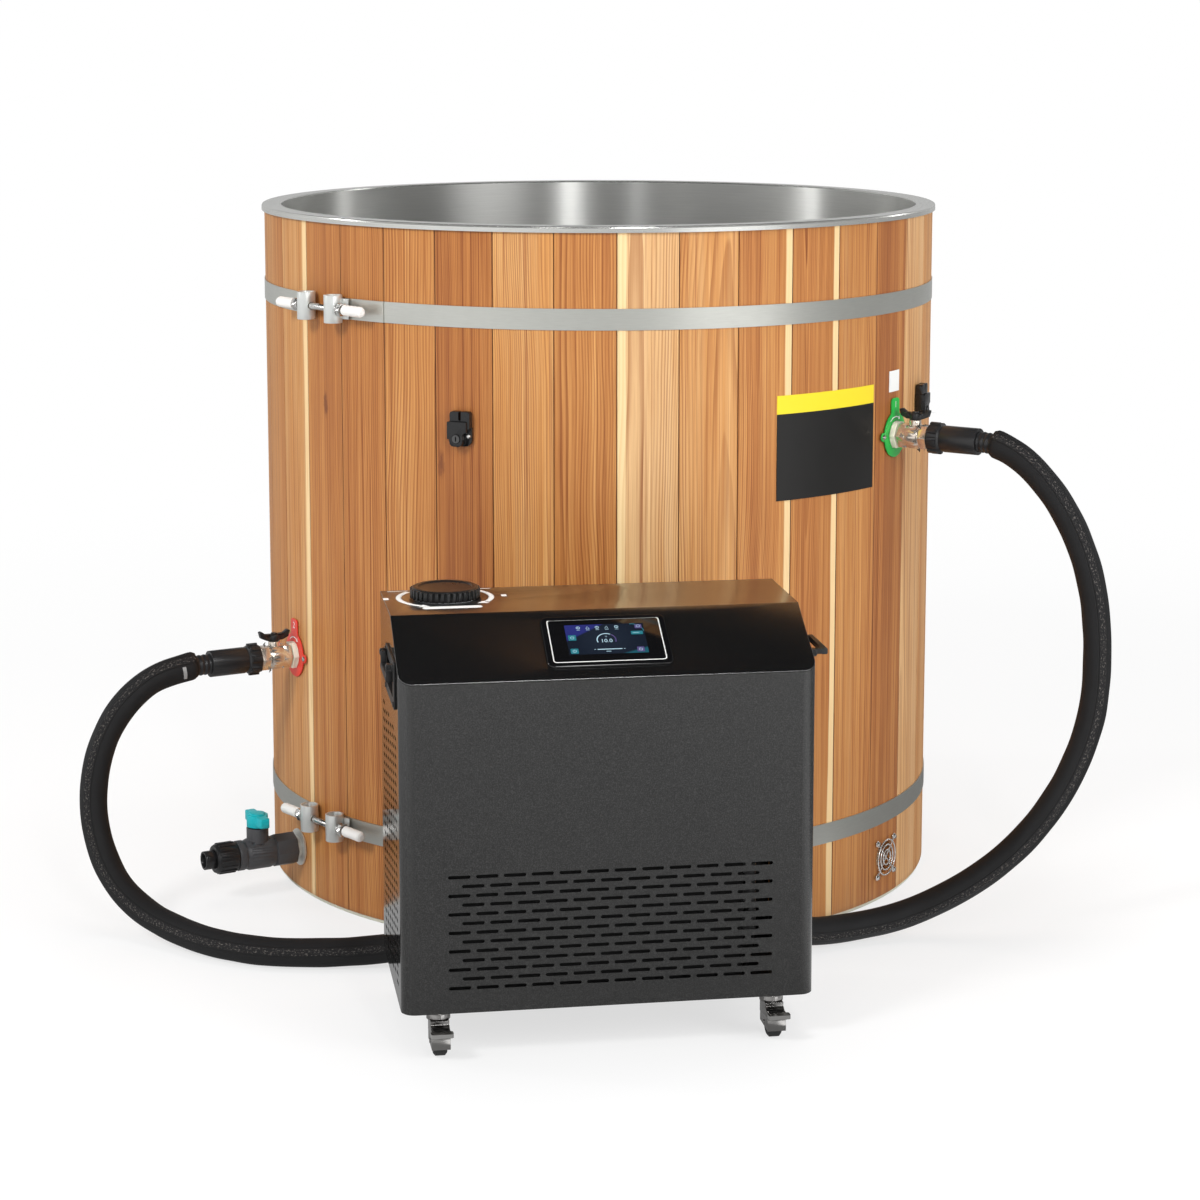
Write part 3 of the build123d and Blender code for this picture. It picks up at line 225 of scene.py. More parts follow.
# How pale each board is from the front's left edge to its right edge, 0 to 1
FRONT_BOARDS = (0.66, 0.40, 0.34, 0.46, 0.20, 0.62, 0.40, 0.98, 0.62, 0.42, 0.36, 0.46, 0.28, 0.98, 0.66)
SAPWOOD_RIGHT = (0.0, 9.0, 10.0, 19.0, 26.0)
SAPWOOD_LEFT = (7.0, 22.0, 31.0)
# Each knot's board, its place across that board and its height
KNOTS = ((1.0, 0.004, 0.735), (4.0, -0.0345, 0.672), (24.0, 0.012, 0.44))
SEAM_AT = 0.0424
SAPWOOD_AT = 0.0300


def board_tone(f, number):
    """How pale each board is: as listed in front, random behind."""
    stops = [(index / STAVE_COUNT - 0.01, (pale, pale, pale)) for index, pale in enumerate(FRONT_BOARDS)]
    stops[0] = (0.0, stops[0][1])
    stops.append((len(FRONT_BOARDS) / STAVE_COUNT - 0.01, (0.0, 0.0, 0.0)))
    front = f.add("ShaderNodeValToRGB", {"hold": True, "stops": stops}, {0: number / STAVE_COUNT})
    behind = number.maths("GREATER_THAN", len(FRONT_BOARDS) - 0.5)
    return front + behind * (f.dice(number) * 0.7 + 0.15)


def growth_rings(f, number, across, height):
    """Rings of a trunk whose heart lies beside or behind each board, numbered outwards."""
    depth = f.dice(number + 71.3)
    lean = f.dice(number + 23.9)
    drift = f.noise(f.vector(across * 4.0, number * 3.7, height * 0.9), 1.6, 2.0)
    wander = f.noise(f.vector(across * 30.0, number * 9.1, height * 2.2), 1.0, 3.0)
    side = across + (lean - 0.5) * 0.16 + (drift - 0.5) * 0.05
    down = 0.006 + depth * 0.05 + (height - lean) * 0.03 * (depth - 0.5)
    radius = (side * side + down * down) ** 0.5 + (wander - 0.5) * 0.0030
    return radius * (190.0 + 260.0 * f.dice(number + 5.1))


def stave_wood():
    """Oiled cedar: growth rings cut flat or on edge, a tone for each stave, a few sapwood edges, and a
    painted sheen in pale streaks along the grain.
    """
    f = Finish("stave_wood", rough=0.5)
    number, across, height = around_tub(f)
    tone = board_tone(f, number)
    rings = growth_rings(f, number, across, height)
    line = rings.fract()
    late = line.rise(0.30, 0.88) * (1.0 - line.rise(0.93, 1.0))
    hard = f.noise(f.vector(rings.floor() * 5.3, number * 1.7, height * 0.5), 1.0, 1.0)
    fibre = f.noise(f.vector(across * 800.0, number * 2.3, height * 7.0), 1.0, 3.0, 0.65)
    band = f.noise(f.vector(across * 60.0, number * 7.7, height * 0.7), 1.0, 4.0, 0.65)
    cloud = f.noise(f.vector(across * 10.0, number * 5.1, height * 1.8), 1.3, 3.0)
    base = f.ramp(
        tone - 0.03 + (cloud - 0.5) * 0.5 + (band - 0.5) * 1.25,
        (0.0, (0.33, 0.112, 0.028)),
        (0.25, (0.45, 0.176, 0.044)),
        (0.5, (0.55, 0.252, 0.073)),
        (0.75, (0.62, 0.335, 0.127)),
        (1.0, (0.69, 0.43, 0.205)),
    )
    dark = f.mix(1.0, base, (0.52, 0.34, 0.24), "MULTIPLY")
    wood = f.mix(late * (0.25 + hard.rise(0.3, 0.7) * 0.75) * 0.9, base, dark)
    hair = f.noise(f.vector(across * 330.0, number * 4.9, height * 1.1), 1.0, 2.0, 0.6).rise(0.56, 0.68)
    fuzz = (fibre - 0.5).size().rise(0.0, 0.3)
    streak = (band.rise(0.58, 0.72) * 0.35 + hair * 0.75 + fuzz * 0.6).least(1.0)
    wood = f.mix(streak, wood, f.mix(1.0, wood, (0.60, 0.42, 0.32), "MULTIPLY"))
    # Painted sheen: pale streaks along the grain brighten the wood in place of its oiled shine.
    pale = f.noise(f.vector(across * 210.0, number * 6.3, height * 0.8), 1.0, 2.0, 0.6).rise(0.54, 0.68)
    wood = f.mix(pale * 0.6, wood, f.mix(1.0, wood, (1.22, 1.34, 1.45), "MULTIPLY"))
    wobble = (cloud - 0.5) * 0.009 + (band - 0.5) * 0.003
    right = (across + wobble).rise(SAPWOOD_AT, SAPWOOD_AT + 0.0022) * f.chosen(number, SAPWOOD_RIGHT)
    left = (wobble - across).rise(SAPWOOD_AT, SAPWOOD_AT + 0.0022) * f.chosen(number, SAPWOOD_LEFT)
    sap = f.mix(late * 0.5, (0.84, 0.62, 0.33), (0.74, 0.48, 0.22))
    wood = f.mix((right + left) * 0.92, wood, sap)
    knots = 0.0
    for board, x, z in KNOTS:
        knots = knot(f, number, across, height, board, x, z).most(knots)
    wood = f.mix(knots, wood, (0.16, 0.045, 0.014))
    gap = (across.size() - SEAM_AT).size().rise(0.0, 0.0013)
    wood = f.mix(1.0 - gap, wood, (0.10, 0.032, 0.012))
    foot = height.rise(0.0, 0.016)
    wood = f.mix((1.0 - foot) * 0.5, wood, (0.20, 0.09, 0.04))
    f.set("Base Color", wood)
    f.set("Roughness", 0.38 + fibre * 0.22 + late * 0.08)
    f.bump(late * 0.5 + fibre * 0.5, 0.0004, 0.5)
    return f


def knot(f, number, across, height, board, x, z):
    """A small long knot on one board, dark at its heart."""
    wide = (across - x) * 150.0
    tall = (height - z) * 42.0
    ragged = f.noise(f.vector(across * 160.0, height * 60.0, board), 1.0, 3.0, 0.7)
    heart = 1.0 - ((wide * wide + tall * tall) ** 0.5 + (ragged - 0.5) * 1.3).rise(0.25, 1.0)
    return heart * f.chosen(number, (board,)) * 0.85


def brushed(
    name, colour, rough, across_scale, along_scale, blotch=0.0, grooves=0.00003, spread=0.0, bare=1.0
):
    """Brushed sheet metal whose fine lines run round the tub; spread draws its highlights upright."""
    f = Finish(name, colour, rough, bare, Anisotropic=spread, Anisotropic_Rotation=0.25)
    angle, reach, z = tub_angle(f)
    lines = f.noise(f.vector(angle * along_scale, (z + reach) * across_scale, 0.0), 1.0, 3.0, 0.6)
    cloud = f.noise(f.place(), 9.0, 3.0)
    shade = f.mix(lines * 0.35 + cloud * blotch, colour, tuple(c * 0.62 for c in colour))
    f.set("Base Color", shade)
    f.set("Roughness", rough + (lines - 0.5) * 0.12 + (cloud - 0.5) * blotch * 0.6)
    f.bump(lines, grooves, 0.5)
    return f


def fine_paint(name, colour, rough, grain, depth, speckle=0.3, smooth_sides=0.0, **more):
    """Painted sheet with a fine even texture, faint handling marks and, if asked, smoother sides."""
    f = Finish(name, colour, rough, **more)
    speck = f.noise(f.place(), grain, 2.0, 0.6)
    cloud = f.noise(f.place(), 7.0, 3.0)
    paler = tuple(min(1.0, c * (1.0 + 3.0 * speckle) + 0.02 * speckle) for c in colour)
    f.set("Base Color", f.mix(speck.rise(0.42, 0.66), colour, paler))
    from_middle = (f.dot(CHILLER_RIGHT) - CHILLER_SPOT.dot(CHILLER_RIGHT)).size()
    sides = from_middle.rise(CHILLER_HALF_WIDTH - 0.013, CHILLER_HALF_WIDTH - 0.001)
    f.set("Roughness", rough + (cloud - 0.5) * 0.08 + (speck - 0.5) * 0.1 - sides * smooth_sides)
    f.bump(speck * (1.0 - sides), depth, 0.5)
    return f


def moulded(name, colour, rough=0.45, grain=900.0, depth=0.00008, worn=0.2, **more):
    """Moulded plastic or rubber: fine grain and a slightly paler, duller film."""
    f = Finish(name, colour, rough, **more)
    speck = f.noise(f.place(), grain, 2.0, 0.6)
    film = f.noise(f.place(), 34.0, 3.0, 0.6)
    paler = tuple(min(1.0, c * 1.35 + 0.012) for c in colour)
    f.set("Base Color", f.mix(film * worn, colour, paler))
    f.set("Roughness", rough + (film - 0.5) * 0.16 + (speck - 0.5) * 0.08)
    f.bump(speck, depth, 0.4)
    return f


def metal(name, colour, rough, grime=0.3, bare=1.0):
    """Plated or machined metal with a light uneven film."""
    f = Finish(name, colour, rough, bare)
    film = f.noise(f.place(), 60.0, 4.0, 0.6)
    fine = f.noise(f.place(), 700.0, 2.0, 0.5)
    f.set("Base Color", f.mix(film * grime, colour, tuple(c * 0.6 for c in colour)))
    f.set("Roughness", rough + (film - 0.5) * 0.18 + (fine - 0.5) * 0.06)
    f.bump(fine, 0.00004, 0.3)
    return f


def sleeve_cloth():
    """Padded sleeve: fine knit, long creases and a rough hook-tape strip along its seam."""
    f = Finish("hose_sleeve", (0.012, 0.012, 0.013), 0.72)
    u, v, _ = f.axes(f.wrap())
    knit = f.noise(f.vector(u * 1.0, v * 1.0, 0.0), 1500.0, 2.0, 0.6)
    crease = f.noise(f.vector(u * 14.0, v * 38.0, 0.0), 1.0, 3.0, 0.6)
    tape = u.bell(0.0315, 0.0060).rise(0.0, 0.35)
    fluff = f.noise(f.vector(u * 520.0, v * 260.0, 0.0), 1.0, 3.0, 0.8)
    hem = u.bell(0.0382, 0.0012) + u.bell(0.0248, 0.0012)
    cloth = f.mix(knit, (0.005, 0.005, 0.0055), (0.018, 0.018, 0.019))
    cloth = f.mix(tape * fluff.rise(0.53, 0.66), cloth, (0.145, 0.13, 0.12))
    cloth = f.mix(hem * 0.7, cloth, (0.006, 0.006, 0.006))
    f.set("Base Color", cloth)
    f.set("Roughness", 0.58 + knit * 0.12 + tape * 0.1)
    f.set("Specular IOR Level", 0.35)
    f.bump(knit * 0.12 + crease * 0.7 + tape * fluff * 0.5 - hem * 0.8, 0.0012, 0.6)
    return f


def printed_plate():
    """The two-tone notice plate: a yellow band over black, and a white label beside it."""
    f = Finish("plate_print", rough=0.42)
    angle, _, z = tub_angle(f)
    white = angle.rise(math.radians(52.9), math.radians(53.0))
    yellow = z.rise(0.7372, 0.7376)
    film = f.noise(f.place(), 40.0, 3.0)
    inside = f.mix(film * 0.4, (0.006, 0.0055, 0.005), (0.016, 0.015, 0.014))
    colour = f.mix(yellow, inside, (0.84, 0.66, 0.02))
    colour = f.mix(white, colour, (0.82, 0.82, 0.80))
    f.set("Base Color", colour)
    f.set("Roughness", 0.36 + film * 0.14)
    f.bump(film, 0.0001, 0.3)
    return f


finishes = {
    "stave_wood": stave_wood(),
    "liner_steel": brushed(
        "liner_steel", (0.80, 0.80, 0.775), 0.34, 420.0, 7.0, 0.06, grooves=0.00002, spread=0.93
    ),
    "rim_steel": brushed(
        "rim_steel", (0.74, 0.745, 0.715), 0.22, 300.0, 12.0, 0.05, grooves=0.00001, bare=0.87
    ),
    "hoop_steel": brushed("hoop_steel", (0.72, 0.725, 0.675), 0.34, 520.0, 26.0, 0.4, bare=0.9),
    "lug_steel": metal("lug_steel", (0.77, 0.79, 0.77), 0.38, 0.25, 0.68),
    "bolt_steel": metal("bolt_steel", (0.74, 0.73, 0.71), 0.16, 0.15),
    "screw_steel": metal("screw_steel", (0.72, 0.71, 0.69), 0.2, 0.2),
    "guard_wire": metal("guard_wire", (0.86, 0.85, 0.83), 0.24, 0.1, 0.8),
    "port_steel": metal("port_steel", (0.80, 0.79, 0.74), 0.34, 0.2, 0.7),
    "nut_nickel": moulded("nut_nickel", (0.72, 0.68, 0.56), 0.36),
    "valve_nickel": metal("valve_nickel", (0.88, 0.79, 0.69), 0.20, 0.3, 0.85),
    "tail_nickel": metal("tail_nickel", (0.86, 0.81, 0.74), 0.32, 0.25),
    "cap_plastic": moulded("cap_plastic", (0.80, 0.79, 0.76), 0.4),
    "base_plastic": moulded("base_plastic", (0.60, 0.60, 0.50), 0.6),
    "foam": moulded("foam", (0.75, 0.68, 0.5), 0.9, 300.0, 0.0006),
    "plate_print": printed_plate(),
    "clip_plastic": moulded("clip_plastic", (0.007, 0.007, 0.0075), 0.25),
    "union_plastic": moulded("union_plastic", (0.014, 0.014, 0.015), 0.34),
    "tag_green": moulded("tag_green", (0.012, 0.38, 0.05), 0.34),
    "tag_red": moulded("tag_red", (0.68, 0.04, 0.022), 0.34),
    "handle_black": moulded("handle_black", (0.013, 0.013, 0.014), 0.35),
    "drain_pvc": moulded("drain_pvc", (0.052, 0.052, 0.056), 0.38),
    "drain_teal": moulded("drain_teal", (0.004, 0.42, 0.47), 0.36),
    "hose_sleeve": sleeve_cloth(),
    "sleeve_tab": moulded("sleeve_tab", (0.30, 0.30, 0.30), 0.6),
    "cabinet_black": fine_paint(
        "cabinet_black", (0.0028, 0.0028, 0.0026), 0.36, 760.0, 0.00010, 0.9,
        smooth_sides=0.27, Specular_IOR_Level=0.95,
    ),
    "cover_black": fine_paint(
        "cover_black", (0.0010, 0.0010, 0.0011), 0.30, 1100.0, 0.00001, 0.2,
        coat=1.0, Coat_Roughness=0.24, Coat_IOR=2.5,
    ),
    "display_glass": moulded("display_glass", (0.003, 0.003, 0.0035), 0.08, 900.0, 0.00001, 0.1),
    "filter_white": moulded("filter_white", (0.7, 0.72, 0.74), 0.45),
    "cap_black": moulded("cap_black", (0.011, 0.011, 0.011), 0.30),
    "grip_plastic": moulded("grip_plastic", (0.014, 0.014, 0.014), 0.4),
    "compressor_enamel": fine_paint("compressor_enamel", (0.02, 0.02, 0.02), 0.35, 500.0, 0.0001),
    "coil_aluminium": fine_paint("coil_aluminium", (0.003, 0.003, 0.003), 0.6, 500.0, 0.0001, 0.05),
    "fan_steel": fine_paint("fan_steel", (0.015, 0.015, 0.015), 0.5, 500.0, 0.0001, 0.1),
    "fan_plastic": moulded("fan_plastic", (0.02, 0.02, 0.02), 0.4),
    "pump_plastic": moulded("pump_plastic", (0.03, 0.03, 0.035), 0.45),
    "caster_zinc": metal("caster_zinc", (0.40, 0.39, 0.38), 0.2, 0.5),
    "wheel_rubber": moulded("wheel_rubber", (0.022, 0.022, 0.022), 0.6),
    "pedal_steel": metal("pedal_steel", (0.78, 0.77, 0.75), 0.16, 0.2),
    "lock_metal": metal("lock_metal", (0.13, 0.13, 0.13), 0.32, 0.3),
}


def dress(piece, finish):
    piece.data.materials.clear()
    piece.data.materials.append(finish.material)


slots = {entry["node"]: entry["material_slot"] for entry in frame["record"]["subparts"]}
for node_name, node in nodes.items():
    for index in range(max(1, len(node.material_slots))):
        if index >= len(node.material_slots):
            node.data.materials.append(None)
        node.material_slots[index].material = finishes[slots[node_name]].material


# Modelling helpers


def pick(*pieces):
    bpy.ops.object.select_all(action="DESELECT")
    for piece in pieces:
        piece.select_set(True)
    bpy.context.view_layer.objects.active = pieces[0]


def editing(piece):
    pick(piece)
    bpy.ops.object.mode_set(mode="EDIT")
    bpy.ops.mesh.select_all(action="SELECT")


def done():
    bpy.ops.object.mode_set(mode="OBJECT")


# Hoses

INLET_ROUTE = [
    (0.53479, -0.34070, 0.685),
    (0.56929, -0.36268, 0.685),
    (0.6224, -0.3965, 0.637),
    (0.6621, -0.4217, 0.569),
    (0.6849, -0.4362, 0.491),
    (0.6916, -0.4405, 0.406),
    (0.687, -0.445, 0.322),
    (0.661, -0.451, 0.243),
    (0.619, -0.455, 0.172),
    (0.563, -0.455, 0.111),
    (0.498, -0.455, 0.066),
    (0.426, -0.450, 0.030),
    (0.351, -0.470, 0.020),
    (0.281, -0.508, 0.025),
    (0.2062, -0.5314, 0.0491),
    (0.1547, -0.5543, 0.0696),
]
OUTLET_ROUTE = [
    (-0.55883, -0.29964, 0.356),
    (-0.61515, -0.32984, 0.356),
    (-0.6716, -0.3601, 0.317),
    (-0.7051, -0.3781, 0.255),
    (-0.717, -0.386, 0.182),
    (-0.706, -0.400, 0.116),
    (-0.677, -0.424, 0.066),
    (-0.636, -0.450, 0.036),
    (-0.585, -0.490, 0.023),
    (-0.527, -0.538, 0.020),
    (-0.455, -0.573, 0.020),
    (-0.375, -0.578, 0.020),
    (-0.302, -0.571, 0.022),
    (-0.243, -0.580, 0.034),
    (-0.1896, -0.5941, 0.0491),
    (-0.1335, -0.600, 0.0696),
]
HOSE_R = 0.02
INNER_R = 0.0145
RIB_PITCH = 0.0072
SLEEVE_START = 0.021
SLEEVE_STEP = 0.005
SLEEVE_SIDES = 40
TAB_ROW = 4
TAB_SIDES = (1, 7)
# The flap over the seam, in degrees round the sleeve
FLAP_START = 70.0
FLAP_END = 111.0


def smooth_line(route):
    """Close points along a smooth spline laid through the route."""
    curve = bpy.data.curves.new("hose_line", "CURVE")
    curve.dimensions = "3D"
    spline = curve.splines.new("NURBS")
    spline.points.add(len(route) - 1)
    for point, place in zip(spline.points, route):
        point.co = (*place, 1.0)
    spline.order_u = 3
    spline.use_endpoint_u = True
    spline.resolution_u = 24
    holder = bpy.data.objects.new("hose_line", curve)
    bpy.context.collection.objects.link(holder)
    bpy.context.view_layer.update()
    mesh = bpy.data.meshes.new_from_object(holder)
    points = [vertex.co.copy() for vertex in mesh.vertices]
    bpy.data.objects.remove(holder)
    return points


def walk(points, start, end, step):
    """Even steps as (distance, place, direction); an end of 0 or less counts back from the far end."""
    lengths = [0.0]
    for a, b in zip(points, points[1:]):
        lengths.append(lengths[-1] + (b - a).length)
    total = lengths[-1]
    end = total + end if end <= 0 else end
    count = max(2, round((end - start) / step))
    made = []
    index = 0
    for number in range(count + 1):
        here = start + (end - start) * number / count
        while index < len(points) - 2 and lengths[index + 1] < here:
            index += 1
        run = lengths[index + 1] - lengths[index]
        share = (here - lengths[index]) / run
        place = points[index].lerp(points[index + 1], share)
        made.append((here, place))
    steps = []
    for number, (here, place) in enumerate(made):
        before = made[max(0, number - 1)][1]
        after = made[min(count, number + 1)][1]
        steps.append((here, place, (after - before).normalized()))
    return steps


def tube(name, steps, radius, sides, facing, finish):
    """A closed tube along steps; radius(distance, angle) gives its skin, facing turns its seam."""
    grid = []
    across = None
    for here, place, direction in steps:
        if across is None:
            across = (facing - direction * facing.dot(direction)).normalized()
        else:
            across = (across - direction * across.dot(direction)).normalized()
        other = direction.cross(across)
        ring = []
        for side in range(sides):
            angle = 2 * math.pi * side / sides
            reach = radius(here, angle)
            ring.append(place + across * (reach * math.cos(angle)) + other * (reach * math.sin(angle)))
        grid.append((here, ring))
    mesh = bpy.data.meshes.new(name)
    points = [point for _, ring in grid for point in ring]
    faces = []
    marks = []
    girth = 2 * math.pi * HOSE_R
    for row in range(len(grid) - 1):
        for side in range(sides):
            nxt = (side + 1) % sides
            low_ring, high_ring = row * sides, (row + 1) * sides
            faces.append((low_ring + side, low_ring + nxt, high_ring + nxt, high_ring + side))
            low, high = side / sides * girth, (side + 1) / sides * girth
            v0, v1 = grid[row][0], grid[row + 1][0]
            marks += [(low, v0), (high, v0), (high, v1), (low, v1)]
    last = (len(grid) - 1) * sides
    faces.append(tuple(reversed(range(sides))))
    faces.append(tuple(last + side for side in range(sides)))
    marks += [(0.0, 0.0)] * (2 * sides)
    mesh.from_pydata(points, [], faces)
    layer = mesh.uv_layers.new(name="Wrap")
    for loop, mark in zip(layer.data, marks):
        loop.uv = mark
    piece = bpy.data.objects.new(name, mesh)
    bpy.context.collection.objects.link(piece)
    for polygon in mesh.polygons:
        polygon.use_smooth = len(polygon.vertices) == 4
    dress(piece, finish)
    return piece


def sleeve_skin(total, seed, raised_at):
    """The sleeve's radius: rolled hems, creases, the flap over its seam and a raised corner."""
    dice = random.Random(seed)
    waves = [(dice.uniform(40, 130), dice.uniform(0, 6.28), dice.randint(1, 4)) for _ in range(7)]

    def radius(here, angle):
        out = HOSE_R
        for end in (here - SLEEVE_START, total - here):
            if end < 0.012:
                out -= 0.0036 * (1 - math.sqrt(max(0.0, 1 - (1 - end / 0.012) ** 2)))
        for pitch, phase, lobes in waves:
            out += 0.00008 * (math.sin(here * pitch + phase + lobes * angle) - 1.0)
        turn = math.degrees(angle)
        if FLAP_START < turn < FLAP_END:
            out += 0.0012 * min(1.0, (FLAP_END - turn) / 4) * min(1.0, (turn - FLAP_START) / 6)
        beside = max(0.0, 1.0 - abs(turn - raised_at) / 30)
        behind = max(0.0, 1.0 - (here - SLEEVE_START) / 0.028)
        return out + 0.0042 * beside * behind

    return radius


def hose(name, route, node, facing, seed, raised_at):
    line = smooth_line(route)
    total = walk(line, 0.0, 0.0, 0.01)[-1][0]
    steps = walk(line, SLEEVE_START, 0.0, SLEEVE_STEP)
    skin = sleeve_skin(total, seed, raised_at)
    sleeve = tube(f"{name}_sleeve", steps, skin, SLEEVE_SIDES, facing, finishes["hose_sleeve"])
    short = walk(line, 0.0, SLEEVE_START + 0.02, 0.0012)
    inner = tube(f"{name}_inner_hose", short, ribbed, 28, facing, finishes["union_plastic"])
    for piece in (sleeve, inner):
        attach(piece, ROOT)
    if name == "outlet":
        sleeve_tab(sleeve)
    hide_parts(node)
    total - SLEEVE_START
    return sleeve


def sleeve_tab(sleeve):
    """A short pale tab sewn round part of the sleeve, close behind its hem."""
    first_side, last_side = TAB_SIDES
    places = []
    for ring in (TAB_ROW, TAB_ROW + 1):
        corners = range(ring * SLEEVE_SIDES, (ring + 1) * SLEEVE_SIDES)
        spots = [sleeve.data.vertices[corner].co for corner in corners]
        middle = sum(spots, Vector()) / SLEEVE_SIDES
        for spot in spots[first_side : last_side + 1]:
            places.append(spot + (spot - middle).normalized() * 0.0005)
    count = last_side - first_side + 1
    faces = [(n, n + 1, count + n + 1, count + n) for n in range(count - 1)]
    mesh = bpy.data.meshes.new("outlet_sleeve_tab")
    mesh.from_pydata(places, [], faces)
    piece = bpy.data.objects.new("outlet_sleeve_tab", mesh)
    bpy.context.collection.objects.link(piece)
    editing(piece)
    bpy.ops.mesh.normals_make_consistent(inside=False)
    done()
    thick = piece.modifiers.new("Thickness", "SOLIDIFY")
    thick.thickness = 0.0007
    thick.offset = 0.0
    bpy.ops.object.modifier_apply(modifier="Thickness")
    dress(piece, finishes["sleeve_tab"])
    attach(piece, ROOT)
    return piece


def ribbed(here, angle):
    return INNER_R + 0.0005 * math.cos(here * 2 * math.pi / RIB_PITCH)


hose("inlet", INLET_ROUTE, "inlet_hose", Vector((0.401, 0.624, 0.669)), 3, 50)
hose("outlet", OUTLET_ROUTE, "outlet_hose", Vector((0.349, -0.654, -0.669)), 8, 130)


# Pieces that stand on the CAD


def settle(piece, name, place, finish):
    """Puts a finished piece in its place, with that place in its mesh, and lets it ride."""
    piece.name = name
    piece.data.name = name
    pick(piece)
    bpy.ops.object.transform_apply(location=True, rotation=True, scale=True)
    piece.data.transform(place)
    piece.data.update()
    dress(piece, finish)
    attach(piece, ROOT)


def as_mesh(piece):
    pick(piece)
    bpy.ops.object.convert(target="MESH")
    return bpy.context.object


def joined(pieces):
    pick(*pieces)
    bpy.ops.object.join()
    return bpy.context.object


def raise_face(thick):
    """Gives the flat face that is being edited its thickness."""
    bpy.ops.mesh.select_all(action="SELECT")
    bpy.ops.mesh.extrude_region_move(TRANSFORM_OT_translate={"value": (0.0, 0.0, thick)})
    bpy.ops.mesh.select_all(action="SELECT")
    bpy.ops.mesh.normals_make_consistent(inside=False)
    done()


def patch(width, height, corner, thick, x=0.0, y=0.0, segments=5):
    """A flat plate with round corners, lying on its place."""
    bpy.ops.mesh.primitive_plane_add(size=1.0, location=(x, y, 0.0))
    piece = bpy.context.object
    piece.scale = (width, height, 1.0)
    pick(piece)
    bpy.ops.object.transform_apply(location=True, rotation=False, scale=True)
    editing(piece)
    bpy.ops.mesh.bevel(offset=corner, segments=segments, affect="VERTICES")
    raise_face(thick)
    return piece


def stroke(points, width, thick, closed=False):
    """A flat printed line through points."""
    curve = bpy.data.curves.new("stroke", "CURVE")
    curve.dimensions = "3D"
    curve.bevel_depth = width / 2
    curve.bevel_resolution = 1
    curve.use_fill_caps = True
    spline = curve.splines.new("POLY")
    spline.points.add(len(points) - 1)
    for point, place in zip(spline.points, points):
        point.co = (place[0], place[1], 0.0, 1.0)
    spline.use_cyclic_u = closed
    piece = bpy.data.objects.new("stroke", curve)
    bpy.context.collection.objects.link(piece)
    piece.scale = (1.0, 1.0, 2 * thick / width)
    piece = as_mesh(piece)
    bpy.ops.object.transform_apply(location=True, rotation=True, scale=True)
    return piece


def arc(radius, start, end, x=0.0, y=0.0, count=28):
    turns = [math.radians(start + (end - start) * n / count) for n in range(count + 1)]
    return [(x + radius * math.cos(turn), y + radius * math.sin(turn)) for turn in turns]


def arrowhead(size, heading, thick, x, y):
    bpy.ops.mesh.primitive_circle_add(vertices=3, radius=size, fill_type="NGON", location=(x, y, 0.0))
    piece = bpy.context.object
    piece.rotation_euler = (0.0, 0.0, math.radians(heading - 90.0))
    editing(piece)
    raise_face(thick)
    pick(piece)
    bpy.ops.object.transform_apply(location=True, rotation=True, scale=True)
    return piece


def digits(words, size, thick, x, y):
    bpy.ops.object.text_add(location=(x, y, 0.0))
    piece = bpy.context.object
    piece.data.body = words
    piece.data.size = size
    piece.data.align_x = "CENTER"
    piece.data.align_y = "CENTER"
    piece.data.extrude = thick
    piece.data.resolution_u = 3
    piece = as_mesh(piece)
    bpy.ops.object.transform_apply(location=True, rotation=True, scale=True)
    return piece


def softened(node, width, angle=28.0):
    """A merged copy of a CAD part with its sharp edges rounded, standing for that part."""
    mesh = nodes[node].data.copy()
    piece = bpy.data.objects.new(f"{node}_dressed", mesh)
    bpy.context.collection.objects.link(piece)
    editing(piece)
    bpy.ops.mesh.remove_doubles(threshold=0.000005)
    bpy.ops.mesh.dissolve_limited(angle_limit=math.radians(0.4))
    done()
    bpy.ops.object.shade_smooth()
    bevel = piece.modifiers.new("Bevel", "BEVEL")
    bevel.width = width
    bevel.segments = 2
    bevel.limit_method = "ANGLE"
    bevel.angle_limit = math.radians(angle)
    bevel.harden_normals = True
    bevel.use_clamp_overlap = False
    bpy.ops.object.modifier_apply(modifier="Bevel")
    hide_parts(node)
    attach(piece, body_of_node[node])
    return piece


body_of_node = {
    node: body for body, group in frame["record"]["behaviour"]["bodies"].items() for node in group
}


def wall(angle, height):
    """The place on the tub's wall: X to the right, Y up, Z outwards."""
    turn = math.radians(angle)
    out = Vector((math.sin(turn), -math.cos(turn), 0.0))
    right = Vector((math.cos(turn), math.sin(turn), 0.0))
    return frame_at(out * TUB_R + Vector((0.0, 0.0, height)), right, out)


def frame_at(origin, right, out):
    up = out.cross(right)
    turn = Matrix((right, up, out)).transposed().to_4x4()
    return Matrix.Translation(origin) @ turn


CHILLER = Matrix.Translation(CHILLER_SPOT) @ Matrix.Rotation(CHILLER_TURN, 4, "Z")
RISE = Vector((0.0, 0.112, 0.062)).normalized()
SLOPE = CHILLER @ frame_at(
    Vector((0.0, -0.1325, 0.478)), Vector((1.0, 0.0, 0.0)), Vector((0.0, -RISE.z, RISE.y))
)
DISPLAY = SLOPE @ Matrix.Translation((0.004, 0.066, 0.0))
TOP = CHILLER @ Matrix.Translation((0.0, 0.0, 0.540))
CAP = Vector((-0.181, 0.080))


# Chiller markings and screen


